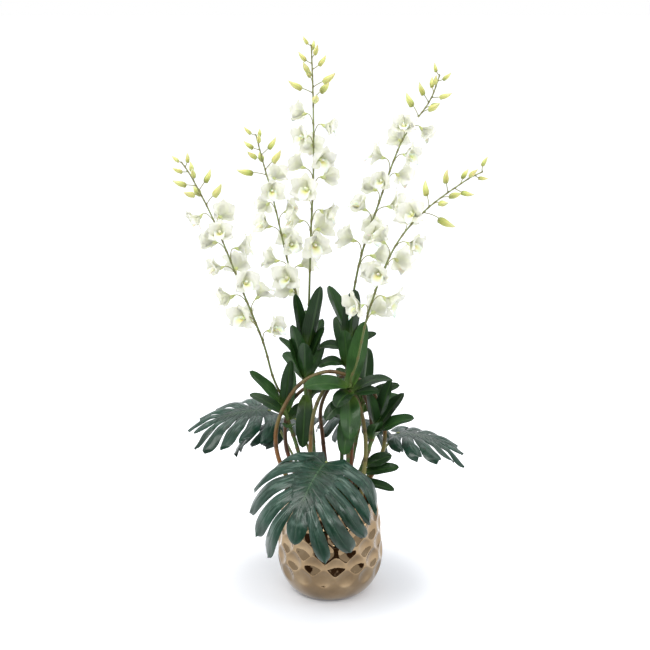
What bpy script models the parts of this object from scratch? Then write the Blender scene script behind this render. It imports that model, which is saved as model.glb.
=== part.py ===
"""Potted dendrobium orchid arrangement at real size: metres, +Z up, pot base centred on the origin.

The front of the arrangement faces -Y. Five flower sprays stand on leafy canes in a dimpled pot, among
hoops of bent stem and split philodendron-like leaves.
"""
import math
import random

import bpy
import numpy as np

GAP = 0.0004

# Pot
POT_HEIGHT = 0.197
POT_RIM_RADIUS = 0.091
POT_BELLY_RADIUS = 0.103
POT_BELLY_Z = 0.072
POT_BASE_RADIUS = 0.060
POT_WALL = 0.0085
POT_RIM_WALL = 0.005
POT_FLOOR = 0.012
POT_FOOT_RINGS = (0.004, 0.014, 0.028)
POT_INSIDE_RINGS = (POT_HEIGHT, 0.176, 0.130, 0.072, 0.036)
POT_FLOOR_EDGE = 0.006
DIMPLES_ROUND = 15
DIMPLE_ROWS = 5
DIMPLE_DEPTH = 0.0045
DIMPLE_LOW_Z = 0.044
DIMPLE_HIGH_Z = 0.187
DIMPLE_POINT = 0.0045

# Moss that fills the pot
MOSS_EDGE_Z = 0.170
MOSS_CROWN = 0.012
MOSS_BUMP = 0.003
MOSS_SIDE_RINGS = (POT_FLOOR + POT_FLOOR_EDGE, 0.036, 0.072, 0.130, MOSS_EDGE_Z)
MOSS_CROWN_RINGS = (0.76, 0.44)
FOOT_Z = 0.132
STEM_SIDES = 6

# Flower sprays: the cane that each stands on, and the route of its stem from there to its tip
STEM_FOOT_RADIUS = 0.0024
STEM_TIP_RADIUS = 0.0011
TURN = math.radians(137.5)
BLOOM_RADIUS = 0.0275
BLOOM_DEPTH = 0.029
THROAT_DEPTH = 0.0095
TEPAL_FOOT = (0.0138, 0.0205)
TEPAL_SPREAD = 26
LIP_REACH = 0.78
LIP_DEPTH = 1.12
CHIN_LENGTH = 0.0055
CHIN_RADIUS = 0.0019
PEDICEL = 0.025
PEDICEL_KNEE = (0.26, 0.62)
PEDICEL_END = (0.84, 0.78)
PEDICEL_RADIUS = 0.0011
BUD_START = 0.06
BUD_LENGTH = 0.024
BUD_RADIUS = 0.0064
BUD_STALK = 0.020
BUD_STALK_RADIUS = 0.0010
BUD_TIP_RADIUS = 0.0007
SPRAYS = {
    "spray_left": dict(
        cane="cane_left",
        route=[(-0.108, -0.02, 0.442), (-0.125, -0.03, 0.512), (-0.163, -0.04, 0.618),
               (-0.206, -0.05, 0.736), (-0.243, -0.05, 0.814), (-0.263, -0.05, 0.846)],
        blooms=13, first=0.26, last=0.76, buds=10, phase=70, seed=3),
    "spray_back_left": dict(
        cane="cane_back_left",
        route=[(-0.053, 0.06, 0.53), (-0.08, 0.08, 0.634), (-0.106, 0.10, 0.746),
               (-0.128, 0.11, 0.828), (-0.140, 0.115, 0.875)],
        blooms=11, first=0.26, last=0.76, buds=9, phase=200, seed=5),
    "spray_centre": dict(
        cane="cane_centre",
        route=[(-0.039, 0, 0.58), (-0.035, 0, 0.708), (-0.030, 0, 0.821),
               (-0.030, 0, 0.945), (-0.033, 0, 1.046)],
        blooms=13, first=0.33, last=0.75, buds=11, phase=20, seed=7),
    "spray_back_right": dict(
        cane="cane_back_right",
        route=[(0.045, 0.035, 0.591), (0.061, 0.045, 0.665), (0.089, 0.055, 0.748),
               (0.132, 0.06, 0.867), (0.182, 0.07, 0.939), (0.201, 0.07, 0.989)],
        blooms=14, first=0.25, last=0.77, buds=9, phase=110, seed=11),
    "spray_right": dict(
        cane="cane_right_front",
        route=[(0.051, -0.04, 0.477), (0.072, -0.06, 0.581), (0.113, -0.08, 0.695),
               (0.165, -0.09, 0.764), (0.232, -0.10, 0.818), (0.265, -0.10, 0.836)],
        blooms=10, first=0.24, last=0.68, buds=10, phase=160, seed=13),
}

# Leafy canes: each leaf is its height on the cane, the way it points (degrees round from +X), its lean
# from upright where it leaves the cane, how far it bends over to its tip, its length and its width
CANE_RADIUS = 0.0042
CANE_RINGS = 6
LEAF_THICKNESS = 0.0016
LEAF_CHANNEL = 0.3
FACE_FRONT = 0.8
CANES = {
    "cane_left": dict(
        route=[(-0.046, 0.004, 0.21), (-0.063, 0, 0.29), (-0.080, 0, 0.345), (-0.0915, 0, 0.3876)],
        leaves=[(0.370, 190, 36, 8, 0.100, 0.031), (0.364, 298, 6, 14, 0.110, 0.024),
                (0.350, 156, 50, 30, 0.088, 0.026), (0.358, 80, 30, 20, 0.090, 0.028),
                (0.342, 40, 40, 50, 0.056, 0.026), (0.330, 262, 40, 60, 0.046, 0.025)]),
    "cane_back_left": dict(
        route=[(-0.028, 0.034, 0.21), (-0.035, 0.040, 0.33), (-0.0445, 0.0485, 0.4466)],
        leaves=[(0.430, 55, 18, 20, 0.105, 0.030), (0.420, 192, 20, 30, 0.098, 0.028),
                (0.400, 130, 34, 50, 0.095, 0.030), (0.380, 20, 40, 55, 0.044, 0.024),
                (0.372, 82, 56, 60, 0.085, 0.028)]),
    "cane_centre": dict(
        route=[(-0.026, -0.002, 0.21), (-0.036, 0, 0.31), (-0.047, 0, 0.42), (-0.043, 0, 0.4866)],
        leaves=[(0.470, 318, 14, 2, 0.124, 0.033), (0.462, 168, 10, 0, 0.112, 0.026),
                (0.440, 216, 15, 0, 0.102, 0.030), (0.414, 186, 16, 2, 0.098, 0.028),
                (0.444, 352, 18, 8, 0.094, 0.030), (0.424, 270, 17, 10, 0.092, 0.030),
                (0.450, 90, 18, 12, 0.110, 0.029), (0.418, 42, 24, 20, 0.080, 0.028),
                (0.396, 258, 155, 15, 0.100, 0.030)]),
    "cane_back_right": dict(
        route=[(0.022, 0.006, 0.21), (0.024, 0.007, 0.31), (0.031, 0.012, 0.42), (0.0365, 0.021, 0.5116)],
        leaves=[(0.494, 210, 22, 4, 0.104, 0.030), (0.484, 290, 13, 4, 0.106, 0.031),
                (0.476, 56, 14, 6, 0.102, 0.029), (0.470, 178, 30, 100, 0.066, 0.022),
                (0.444, 200, 34, 95, 0.064, 0.022), (0.480, 8, 40, 40, 0.062, 0.019),
                (0.446, 260, 16, 12, 0.090, 0.030), (0.456, 112, 22, 30, 0.096, 0.029)]),
    "cane_right_front": dict(
        route=[(0.031, -0.016, 0.21), (0.036, -0.019, 0.31), (0.038, -0.027, 0.40), (0.039, -0.032, 0.4296)],
        leaves=[(0.408, 44, 14, 2, 0.126, 0.034), (0.406, 30, 52, 60, 0.098, 0.024),
                (0.402, 20, 66, 40, 0.058, 0.020), (0.416, 198, 58, 46, 0.092, 0.034),
                (0.410, 240, 80, 50, 0.056, 0.032), (0.394, 208, 96, 50, 0.062, 0.027),
                (0.400, 268, 112, 54, 0.088, 0.038), (0.370, 256, 128, 40, 0.084, 0.034)]),
    "cane_right": dict(
        route=[(0.050, -0.004, 0.21), (0.064, -0.004, 0.26), (0.083, -0.006, 0.315), (0.093, -0.008, 0.345)],
        leaves=[(0.334, 350, 12, 6, 0.098, 0.034), (0.326, 204, 6, 6, 0.078, 0.028),
                (0.316, 336, 44, 32, 0.094, 0.035), (0.326, 16, 32, 12, 0.090, 0.030),
                (0.306, 285, 26, 30, 0.072, 0.028), (0.250, 350, 56, 14, 0.064, 0.027),
                (0.236, 340, 66, 12, 0.082, 0.025), (0.222, 328, 84, 14, 0.080, 0.023)]),
    "cane_back": dict(
        route=[(0.036, 0.036, 0.21), (0.050, 0.050, 0.28), (0.062, 0.060, 0.345), (0.066, 0.064, 0.375)],
        leaves=[(0.364, 75, 16, 14, 0.104, 0.030), (0.356, 346, 40, 36, 0.086, 0.026),
                (0.350, 130, 34, 34, 0.100, 0.030), (0.336, 16, 50, 40, 0.088, 0.028),
                (0.320, 167, 50, 50, 0.056, 0.026)]),
}

# Hoops of bent stem, both ends of each in the moss
HOOP_FOOT_RADIUS = 0.0053
HOOP_TOP_RADIUS = 0.0036
HOOPS = {
    "hoop_outer": [(-0.070, -0.020, 0.21), (-0.100, -0.014, 0.28), (-0.099, -0.012, 0.345),
                   (-0.062, -0.026, 0.420), (-0.010, -0.020, 0.448), (0.037, -0.009, 0.436),
                   (0.076, 0.010, 0.408), (0.101, 0.022, 0.345), (0.104, 0.024, 0.28), (0.074, 0.018, 0.21)],
    "hoop_inner": [(-0.028, -0.036, 0.21), (-0.037, -0.036, 0.29), (-0.030, -0.034, 0.372),
                   (-0.004, -0.022, 0.420), (0.034, -0.009, 0.414), (0.058, -0.016, 0.372),
                   (0.068, -0.028, 0.30), (0.060, -0.032, 0.21)],
    "hoop_back": [(-0.062, 0.024, 0.21), (-0.086, 0.026, 0.29), (-0.076, 0.024, 0.370),
                  (-0.030, 0.020, 0.412), (0.022, 0.034, 0.404), (0.046, 0.032, 0.350),
                  (0.042, 0.030, 0.28), (0.040, 0.016, 0.21)],
    "hoop_rear": [(-0.006, 0.058, 0.21), (-0.014, 0.072, 0.28), (-0.018, 0.072, 0.345),
                  (0.004, 0.062, 0.398), (0.034, 0.048, 0.418), (0.064, 0.034, 0.388),
                  (0.080, 0.036, 0.330), (0.076, 0.042, 0.27), (0.053, 0.041, 0.21)],
}

# Split leaves: the stalk's route, then the blade's heading (degrees round from +X), its rise from level
# at the stalk, how far it bends down to its tip, its roll about the midrib, its length and width, and
# the radius that its sides curve down with, in widths
LOBES = 5
BLADE_THICKNESS = 0.0018
STALK_RADIUS = 0.0027
BODY_SHARE = 0.55
SLIT = 0.30
LOBE_FILL = 0.84
LOBE_HOOK = 0.20
LOBE_TIP = (1.06, 0.05)
SPLIT_LEAVES = {
    "split_leaf_front": dict(
        route=[(-0.004, -0.048, 0.21), (-0.008, -0.064, 0.258), (-0.006, -0.096, 0.298)],
        heading=241, rise=-8, bend=74, roll=-10, length=0.180, width=0.250, curve=0.60),
    "split_leaf_left": dict(
        route=[(-0.046, 0.024, 0.21), (-0.080, 0.050, 0.27), (-0.118, 0.072, 0.340)],
        heading=185, rise=5, bend=42, roll=-6, length=0.160, width=0.178, curve=1.5),
    "split_leaf_right": dict(
        route=[(0.070, 0.036, 0.21), (0.100, 0.048, 0.26), (0.132, 0.053, 0.300)],
        heading=350, rise=2, bend=36, roll=-3, length=0.134, width=0.148, curve=1.8),
    "split_leaf_rear": dict(
        route=[(0.018, 0.062, 0.21), (0.026, 0.086, 0.27), (0.032, 0.114, 0.312)],
        heading=65, rise=-8, bend=60, roll=0, length=0.168, width=0.170, curve=0.8),
    "split_leaf_back_left": dict(
        route=[(-0.030, 0.056, 0.21), (-0.048, 0.090, 0.27), (-0.068, 0.122, 0.304)],
        heading=141, rise=-4, bend=54, roll=0, length=0.165, width=0.170, curve=0.8),
}


def clear_objects():
    for thing in list(bpy.data.objects):
        bpy.data.objects.remove(thing, do_unlink=True)


def plain_material(name, colour, roughness, metallic=0.0):
    material = bpy.data.materials.new(name)
    material.use_nodes = True
    shader = material.node_tree.nodes["Principled BSDF"]
    shader.inputs["Base Color"].default_value = (*colour, 1.0)
    shader.inputs["Roughness"].default_value = roughness
    shader.inputs["Metallic"].default_value = metallic
    material.diffuse_color = (*colour, 1.0)
    return material


def new_object(name, points, faces, collection=None):
    mesh = bpy.data.meshes.new(name)
    mesh.from_pydata([tuple(map(float, point)) for point in points], [], faces)
    mesh.update()
    thing = bpy.data.objects.new(name, mesh)
    (collection or bpy.context.scene.collection).objects.link(thing)
    return thing


def apply_modifiers(thing):
    shape = bpy.data.meshes.new_from_object(thing.evaluated_get(bpy.context.evaluated_depsgraph_get()))
    thing.modifiers.clear()
    old = thing.data
    thing.data = shape
    bpy.data.meshes.remove(old)


def combine(thing, shells, operation):
    # One Boolean of the object with a collection of closed shells, which is then removed
    group = bpy.data.collections.new(thing.name + "_shells")
    bpy.context.scene.collection.children.link(group)
    for number, (points, faces) in enumerate(shells):
        shell = new_object(f"{thing.name}_shell_{number}", points, faces, group)
        shell.hide_render = True
        shell.display_type = "WIRE"
    change = thing.modifiers.new("combine", "BOOLEAN")
    change.operation = operation
    change.operand_type = "COLLECTION"
    change.collection = group
    change.solver = "EXACT"
    apply_modifiers(thing)
    for shell in list(group.objects):
        bpy.data.objects.remove(shell, do_unlink=True)
    bpy.data.collections.remove(group)


def finish(thing, material, angle=40):
    thing.data.materials.clear()
    thing.data.materials.append(material)
    thing.data.shade_smooth()
    thing.data.set_sharp_from_angle(angle=math.radians(angle))


def unit(vector):
    vector = np.asarray(vector, float)
    return vector / np.linalg.norm(vector)


def smooth_route(points, count):
    # Evenly spaced points on a Catmull-Rom curve through the route's own points
    points = np.array(points, float)
    padded = np.vstack([2 * points[0] - points[1], points, 2 * points[-1] - points[-2]])
    dense = []
    for a, b, c, d in zip(padded, padded[1:], padded[2:], padded[3:]):
        for t in np.linspace(0, 1, 24, endpoint=False):
            dense.append(0.5 * (2 * b + (c - a) * t + (2 * a - 5 * b + 4 * c - d) * t ** 2
                                + (3 * b - a - 3 * c + d) * t ** 3))
    dense.append(points[-1])
    dense = np.array(dense)
    reach = np.concatenate([[0], np.cumsum(np.linalg.norm(np.diff(dense, axis=0), axis=1))])
    even = np.linspace(0, reach[-1], count)
    return np.column_stack([np.interp(even, reach, dense[:, axis]) for axis in range(3)])


def tangents(path):
    steps = np.gradient(path, axis=0)
    return steps / np.linalg.norm(steps, axis=1)[:, None]


def tube(path, radii, sides):
    # A closed tube: a ring about each point of the path, with flat ends
    path = np.asarray(path, float)
    along = tangents(path)
    side = unit(np.cross(along[0], (0.31, 0.93, 0.17)))
    points = []
    for centre, forward, radius in zip(path, along, radii):
        side = unit(side - forward * side.dot(forward))
        across = np.cross(forward, side)
        for k in range(sides):
            angle = 2 * math.pi * k / sides
            points.append(centre + radius * (math.cos(angle) * side + math.sin(angle) * across))
    faces = []
    for ring in range(len(path) - 1):
        for k in range(sides):
            a = ring * sides + k
            b = ring * sides + (k + 1) % sides
            faces += [(a, b, b + sides), (a, b + sides, a + sides)]
    faces.append(tuple(range(sides))[::-1])
    faces.append(tuple(range(len(points) - sides, len(points))))
    return points, faces


def foot(route):
    # The straight end of a planted stem: from its end in the moss to the route's first point
    start = np.array(route[0], float)
    lean = unit(np.array(route[1], float) - start)
    lean = unit(lean * (0.5, 0.5, 1.0))
    return start - lean * (start[2] - FOOT_Z) / lean[2]


def planted_path(route, count):
    return np.vstack([foot(route), smooth_route(route, count)])


def hole(route, radius):
    # The cutter for a stem's hole in the moss, a little wider and deeper than its straight foot
    low = foot(route)
    lean = unit(np.array(route[0]) - low)
    reach = (radius + GAP) / math.cos(math.pi / STEM_SIDES)
    return tube([low - lean * GAP, np.array(route[0])], [reach] * 2, STEM_SIDES)


def pot_radius(z):
    # A rounded foot up to the belly, then a slow taper to the rim
    if z < POT_BELLY_Z:
        rise = (1 - (1 - z / POT_BELLY_Z) ** 1.7) ** (1 / 1.7)
        return POT_BASE_RADIUS + (POT_BELLY_RADIUS - POT_BASE_RADIUS) * rise
    fall = ((z - POT_BELLY_Z) / (POT_HEIGHT - POT_BELLY_Z)) ** 1.6
    return POT_BELLY_RADIUS - (POT_BELLY_RADIUS - POT_RIM_RADIUS) * fall


def inner_radius(z):
    if z > POT_HEIGHT - 0.02:
        return pot_radius(z) - POT_RIM_WALL
    return pot_radius(z) - POT_WALL


def ring_points(heights, radii):
    count = 2 * DIMPLES_ROUND
    turns = 2 * math.pi * np.arange(count) / count
    return np.column_stack([radii * np.cos(turns), radii * np.sin(turns), heights])


def join_rings(faces, low, high, count):
    # Quads from one ring of points up to the next, facing away from the axis
    for k in range(count):
        after = (k + 1) % count
        faces.append((low + k, low + after, high + after, high + k))


def make_pot():
    # Rings from the base centre up the outside, over the rim and down the inside to the floor
    count = 2 * DIMPLES_ROUND
    parity = np.where(np.arange(count) % 2 == 0, 1.0, -1.0)
    points = []
    faces = []

    def add_ring(heights, radii):
        points.extend(ring_points(heights, radii))
        return len(points) - count

    def round_ring(z, radius):
        return add_ring(np.full(count, z), np.full(count, radius))

    foot_ring = round_ring(0.0, POT_BASE_RADIUS)
    faces.append(tuple(range(foot_ring, foot_ring + count))[::-1])
    below = foot_ring
    for z in POT_FOOT_RINGS:
        above = round_ring(z, pot_radius(z))
        join_rings(faces, below, above, count)
        below = above
    edges = []
    for row in range(DIMPLE_ROWS + 1):
        middle = DIMPLE_LOW_Z + (DIMPLE_HIGH_Z - DIMPLE_LOW_Z) * row / DIMPLE_ROWS
        swing = parity * DIMPLE_POINT * (1 if row % 2 else -1)
        heights = middle + swing
        edges.append(add_ring(heights, np.array([pot_radius(z) for z in heights])))
    join_rings(faces, below, edges[0], count)
    for row in range(DIMPLE_ROWS):
        low, high = edges[row], edges[row + 1]
        for k in range(row % 2, count, 2):
            before, after = (k - 1) % count, (k + 1) % count
            loop = [low + before, low + k, low + after, high + after, high + k, high + before]
            centre = sum(points[i] for i in loop) / 6
            outward = unit((centre[0], centre[1], 0))
            radius = pot_radius(centre[2]) - DIMPLE_DEPTH
            points.append(np.array([outward[0] * radius, outward[1] * radius, centre[2]]))
            hub = len(points) - 1
            for a, b in zip(loop, loop[1:] + loop[:1]):
                faces.append((a, b, hub))
    rim = round_ring(POT_HEIGHT, POT_RIM_RADIUS - 0.0005)
    join_rings(faces, edges[-1], rim, count)
    below = rim
    corner = inner_radius(POT_FLOOR + POT_FLOOR_EDGE)
    inside = [(z, inner_radius(z)) for z in POT_INSIDE_RINGS]
    inside += [(POT_FLOOR + POT_FLOOR_EDGE, corner), (POT_FLOOR, corner - POT_FLOOR_EDGE)]
    for z, radius in inside:
        above = round_ring(z, radius)
        join_rings(faces, below, above, count)
        below = above
    faces.append(tuple(range(below, below + count)))
    pot = new_object("pot", points, faces)
    finish(pot, plain_material("bronze_glaze", (0.62, 0.45, 0.33), 0.12, 1.0), 25)


def make_moss(holes):
    # A plug that follows the inside of the pot, with a lumpy crown, and a plain hole for each stem
    count = 2 * DIMPLES_ROUND
    draw = random.Random(21)
    points = []
    faces = []
    sides = [(z, inner_radius(z) - 2 * GAP) for z in MOSS_SIDE_RINGS]
    sides.insert(0, (POT_FLOOR + GAP, sides[0][1] - POT_FLOOR_EDGE))
    for z, radius in sides:
        points.extend(ring_points(np.full(count, z), np.full(count, radius)))
    for ring in range(len(sides) - 1):
        join_rings(faces, ring * count, (ring + 1) * count, count)
    faces.append(tuple(range(count))[::-1])
    edge = inner_radius(MOSS_EDGE_Z) - 2 * GAP
    for reach in MOSS_CROWN_RINGS:
        rise = MOSS_EDGE_Z + MOSS_CROWN * (1 - reach ** 2)
        bumps = np.array([draw.uniform(-MOSS_BUMP, MOSS_BUMP) for _ in range(count)])
        points.extend(ring_points(rise + bumps, np.full(count, edge * reach)))
        ring = len(points) - 2 * count
        join_rings(faces, ring, ring + count, count)
    points.append((0, 0, MOSS_EDGE_Z + MOSS_CROWN))
    last = len(points) - 1 - count
    for k in range(count):
        faces.append((last + k, last + (k + 1) % count, len(points) - 1))
    moss = new_object("potting_moss", points, faces)
    combine(moss, holes, "DIFFERENCE")
    finish(moss, plain_material("moss", (0.09, 0.075, 0.03), 0.95), 30)


def spray_path(spray, count):
    # The stem starts in line with its cane, a hair clear of the cane's top
    cane = planted_path(CANES[spray["cane"]]["route"], CANE_RINGS)
    lean = unit(cane[-1] - cane[-2])
    start = [tuple(cane[-1] + lean * reach) for reach in (1.3 * GAP, 0.012)]
    return np.vstack([start[0], smooth_route(start[1:] + spray["route"], count - 1)])


def stem_frame(spray, fraction):
    # Place and direction of a spray's stem at a fraction of its length, with two directions square to
    # it: towards the front and towards the side
    path = spray_path(spray, 60)
    along = tangents(path)
    where = fraction * 59
    index = min(int(where), 58)
    blend = where - index
    place = path[index] * (1 - blend) + path[index + 1] * blend
    forward = unit(along[index] * (1 - blend) + along[index + 1] * blend)
    front = np.array((0.0, -1.0, 0.0))
    front = unit(front - forward * front.dot(forward))
    return place, forward, front, np.cross(forward, front)


def bloom_places(spray):
    # Blooms turn about the stem by the golden angle from the lowest up, and shrink a little
    draw = random.Random(spray["seed"])
    for number in range(spray["blooms"]):
        share = number / (spray["blooms"] - 1)
        fraction = spray["first"] + (spray["last"] - spray["first"]) * share
        place, forward, front, side = stem_frame(spray, fraction)
        angle = math.radians(spray["phase"]) + number * TURN + math.radians(draw.uniform(-14, 14))
        out = math.cos(angle) * front + math.sin(angle) * side
        facing = unit(out + forward * draw.uniform(-0.30, 0.50))
        size = (1.04 - 0.16 * share) * draw.uniform(0.95, 1.05)
        yield place, out, forward, facing, size


def bud_places(spray):
    # Buds carry the same turn on to the tip, each shorter and on a shorter stalk than the one below
    draw = random.Random(spray["seed"] + 100)
    start = spray["last"] + BUD_START
    for number in range(spray["buds"]):
        share = number / (spray["buds"] - 1)
        place, forward, front, side = stem_frame(spray, start + (0.995 - start) * share)
        angle = math.radians(spray["phase"]) + (spray["blooms"] + number) * TURN
        out = math.cos(angle) * front + math.sin(angle) * side
        lift = 0.25 + 0.9 * share + draw.uniform(-0.1, 0.1)
        facing = unit(out + forward * lift)
        size = (1.05 - 0.40 * share) * draw.uniform(0.93, 1.07)
        yield place, out, forward, facing, size


def bloom_shell(place, out, forward, facing, size):
    # A half-open star of five tepals and a lip, in one shell with the stalk that hooks up and over
    # from the stem to the chin behind it. The front sinks to the throat, the back has a ridge behind
    # every tepal, and the two share the outline
    knee, base = (place + size * PEDICEL * (away * out + along * forward)
                  for away, along in (PEDICEL_KNEE, PEDICEL_END))
    side = unit(np.cross((0.0, 0.0, 1.0), facing))
    up = np.cross(facing, side)

    def at(angle, radius, depth):
        spin = math.radians(angle)
        return base + size * (radius * (math.cos(spin) * side + math.sin(spin) * up) + depth * facing)

    points = [base + facing * THROAT_DEPTH * size]
    faces = []
    for k in range(6):
        middle = 90 + 60 * k
        lip = k == 3
        reach = BLOOM_RADIUS * (LIP_REACH if lip else 1.0)
        depth = BLOOM_DEPTH * (LIP_DEPTH if lip else 1.0)
        points += [at(middle - 30, *TEPAL_FOOT), at(middle - TEPAL_SPREAD, reach * 0.70, depth * 0.84),
                   at(middle, reach, depth * 0.98),
                   at(middle + TEPAL_SPREAD, reach * 0.70, depth * 0.84),
                   at(middle, reach * 0.58, depth * 0.55)]
    rim = []
    for k in range(6):
        valley, left, tip, right, ridge = range(1 + 5 * k, 6 + 5 * k)
        loop = [valley, left, tip, right, 1 + 5 * ((k + 1) % 6)]
        faces += [(0, a, b) for a, b in zip(loop, loop[1:])]
        faces += [(b, a, ridge) for a, b in zip(loop, loop[1:])]
        rim += [valley, ridge]
    rings = []
    for centre, heading, radius in ((base - facing * CHIN_LENGTH * size, facing, CHIN_RADIUS),
                                    (knee, base - knee, PEDICEL_RADIUS),
                                    (place, knee - place, PEDICEL_RADIUS)):
        heading = unit(heading)
        right = unit(side - heading * side.dot(heading))
        above = np.cross(heading, right)
        rings.append(len(points))
        for spin in (math.radians(90 + 120 * k) for k in range(3)):
            points.append(centre + radius * (math.cos(spin) * right + math.sin(spin) * above))
    for j in range(12):
        corner = rings[0] + ((j + 1) % 12) // 4
        faces.append((rim[(j + 1) % 12], rim[j], corner))
        if j % 4 == 3:
            faces.append((rings[0] + (j // 4), rings[0] + (j // 4 + 1) % 3, rim[j]))
    for upper, lower in zip(rings, rings[1:]):
        for k in range(3):
            after = (k + 1) % 3
            faces += [(lower + k, lower + after, upper + after), (lower + k, upper + after, upper + k)]
    faces.append((rings[2], rings[2] + 2, rings[2] + 1))
    return points, faces


def bud_shell(place, out, forward, facing, size):
    # Stalk and bud as one shell of round sections: thin up to the bud, then fat, then pointed
    stalk = BUD_STALK * size ** 2
    knee = place + stalk * (0.55 * out + 0.45 * forward)
    base = knee + stalk * 0.5 * unit(out + facing)
    length = BUD_LENGTH * size
    path = [place, knee, base, base + facing * length * 0.45, base + facing * length]
    fat = BUD_RADIUS * size
    radii = [BUD_STALK_RADIUS, BUD_STALK_RADIUS, fat * 0.6, fat, BUD_TIP_RADIUS]
    return tube(path, radii, 4)


def make_spray(name, spray, material):
    path = spray_path(spray, 13)
    radii = np.linspace(STEM_FOOT_RADIUS, STEM_TIP_RADIUS, len(path))
    shells = []
    for bloom in bloom_places(spray):
        shells.append(bloom_shell(*bloom))
    for bud in bud_places(spray):
        shells.append(bud_shell(*bud))
    thing = new_object(name, *tube(path, radii, 4))
    combine(thing, shells, "UNION")
    finish(thing, material)


def cane_point(path, z):
    return np.array([np.interp(z, path[:, 2], path[:, axis]) for axis in range(3)])


def leaf_shell(root, heading, lean, bend, length, width):
    # A pointed blade of diamond sections, channelled along its middle, that leans out and bends over.
    # It is turned about its length to show more of its nearer face to the front
    heading, lean, bend = (math.radians(angle) for angle in (heading, lean, bend))
    out = np.array((math.cos(heading), math.sin(heading), 0.0))
    up = np.array((0.0, 0.0, 1.0))
    stations = (0.0, 0.1, 0.32, 0.6, 0.85, 1.0) if bend > 0.5 else (0.0, 0.12, 0.45, 0.8, 1.0)
    middle_turn = lean + bend / 2
    shows_back = math.cos(middle_turn) * out[1] < -0.3
    front = np.array((0.0, FACE_FRONT if shows_back else -FACE_FRONT, 0.0))
    middle = root
    points = []
    before = 0.0
    for number, share in enumerate(stations):
        turn = lean + bend * (share + before) / 2
        middle = middle + (share - before) * length * (math.sin(turn) * out + math.cos(turn) * up)
        before = share
        turn = lean + bend * share
        along = math.sin(turn) * out + math.cos(turn) * up
        face = math.sin(turn) * up - math.cos(turn) * out + front * min(1.0, 2 * share)
        face = unit(face - along * face.dot(along))
        side = np.cross(face, along)
        half = 0.5 * width * math.sin(math.pi * (0.1 + 0.9 * share) ** 0.9) ** 0.5
        if number in (0, len(stations) - 1):
            points.append(middle)
            continue
        lift = face * half * LEAF_CHANNEL
        thick = face * LEAF_THICKNESS / 2
        points += [middle - side * half + lift, middle - thick, middle + side * half + lift, middle + thick]
    faces = [(0, 1, 4), (0, 4, 3), (0, 3, 2), (0, 2, 1)]
    rings = len(stations) - 2
    for ring in range(rings - 1):
        low = 1 + 4 * ring
        for k in range(4):
            a, b = low + k, low + (k + 1) % 4
            if k % 2 == 0:
                faces += [(a, b, b + 4), (a, b + 4, a + 4)]
            else:
                faces += [(a, b, a + 4), (b, b + 4, a + 4)]
    low, tip = 1 + 4 * (rings - 1), len(points) - 1
    faces += [(low + k, low + (k + 1) % 4, tip) for k in range(4)]
    return points, faces


def make_cane(name, cane, material):
    path = planted_path(cane["route"], CANE_RINGS)
    radii = [CANE_RADIUS] * (len(path) - 1) + [CANE_RADIUS * 0.8]
    shells = []
    for height, heading, *form in cane["leaves"]:
        turn = math.radians(heading)
        root = cane_point(path, height) + 0.45 * CANE_RADIUS * np.array((math.cos(turn), math.sin(turn), 0))
        shells.append(leaf_shell(root, heading, *form))
    thing = new_object(name, *tube(path, radii, STEM_SIDES))
    combine(thing, shells, "UNION")
    finish(thing, material)


def make_hoop(name, route, material):
    middle = smooth_route(route, 12)
    path = np.vstack([foot(route), middle, foot(route[::-1])])
    share = np.abs(np.linspace(-1, 1, len(path)))
    radii = HOOP_TOP_RADIUS + (HOOP_FOOT_RADIUS - HOOP_TOP_RADIUS) * share ** 1.5
    thing = new_object(name, *tube(path, radii, STEM_SIDES))
    finish(thing, material)


def lobe_spread(share):
    # Angle of a lobe from the midrib and its reach in half widths, by its place from the heart-shaped
    # base (0) to the tip (1)
    return math.radians(120 - 92 * share ** 0.9), 0.95 + 0.20 * math.sin(math.pi * share) - 0.28 * share


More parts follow.
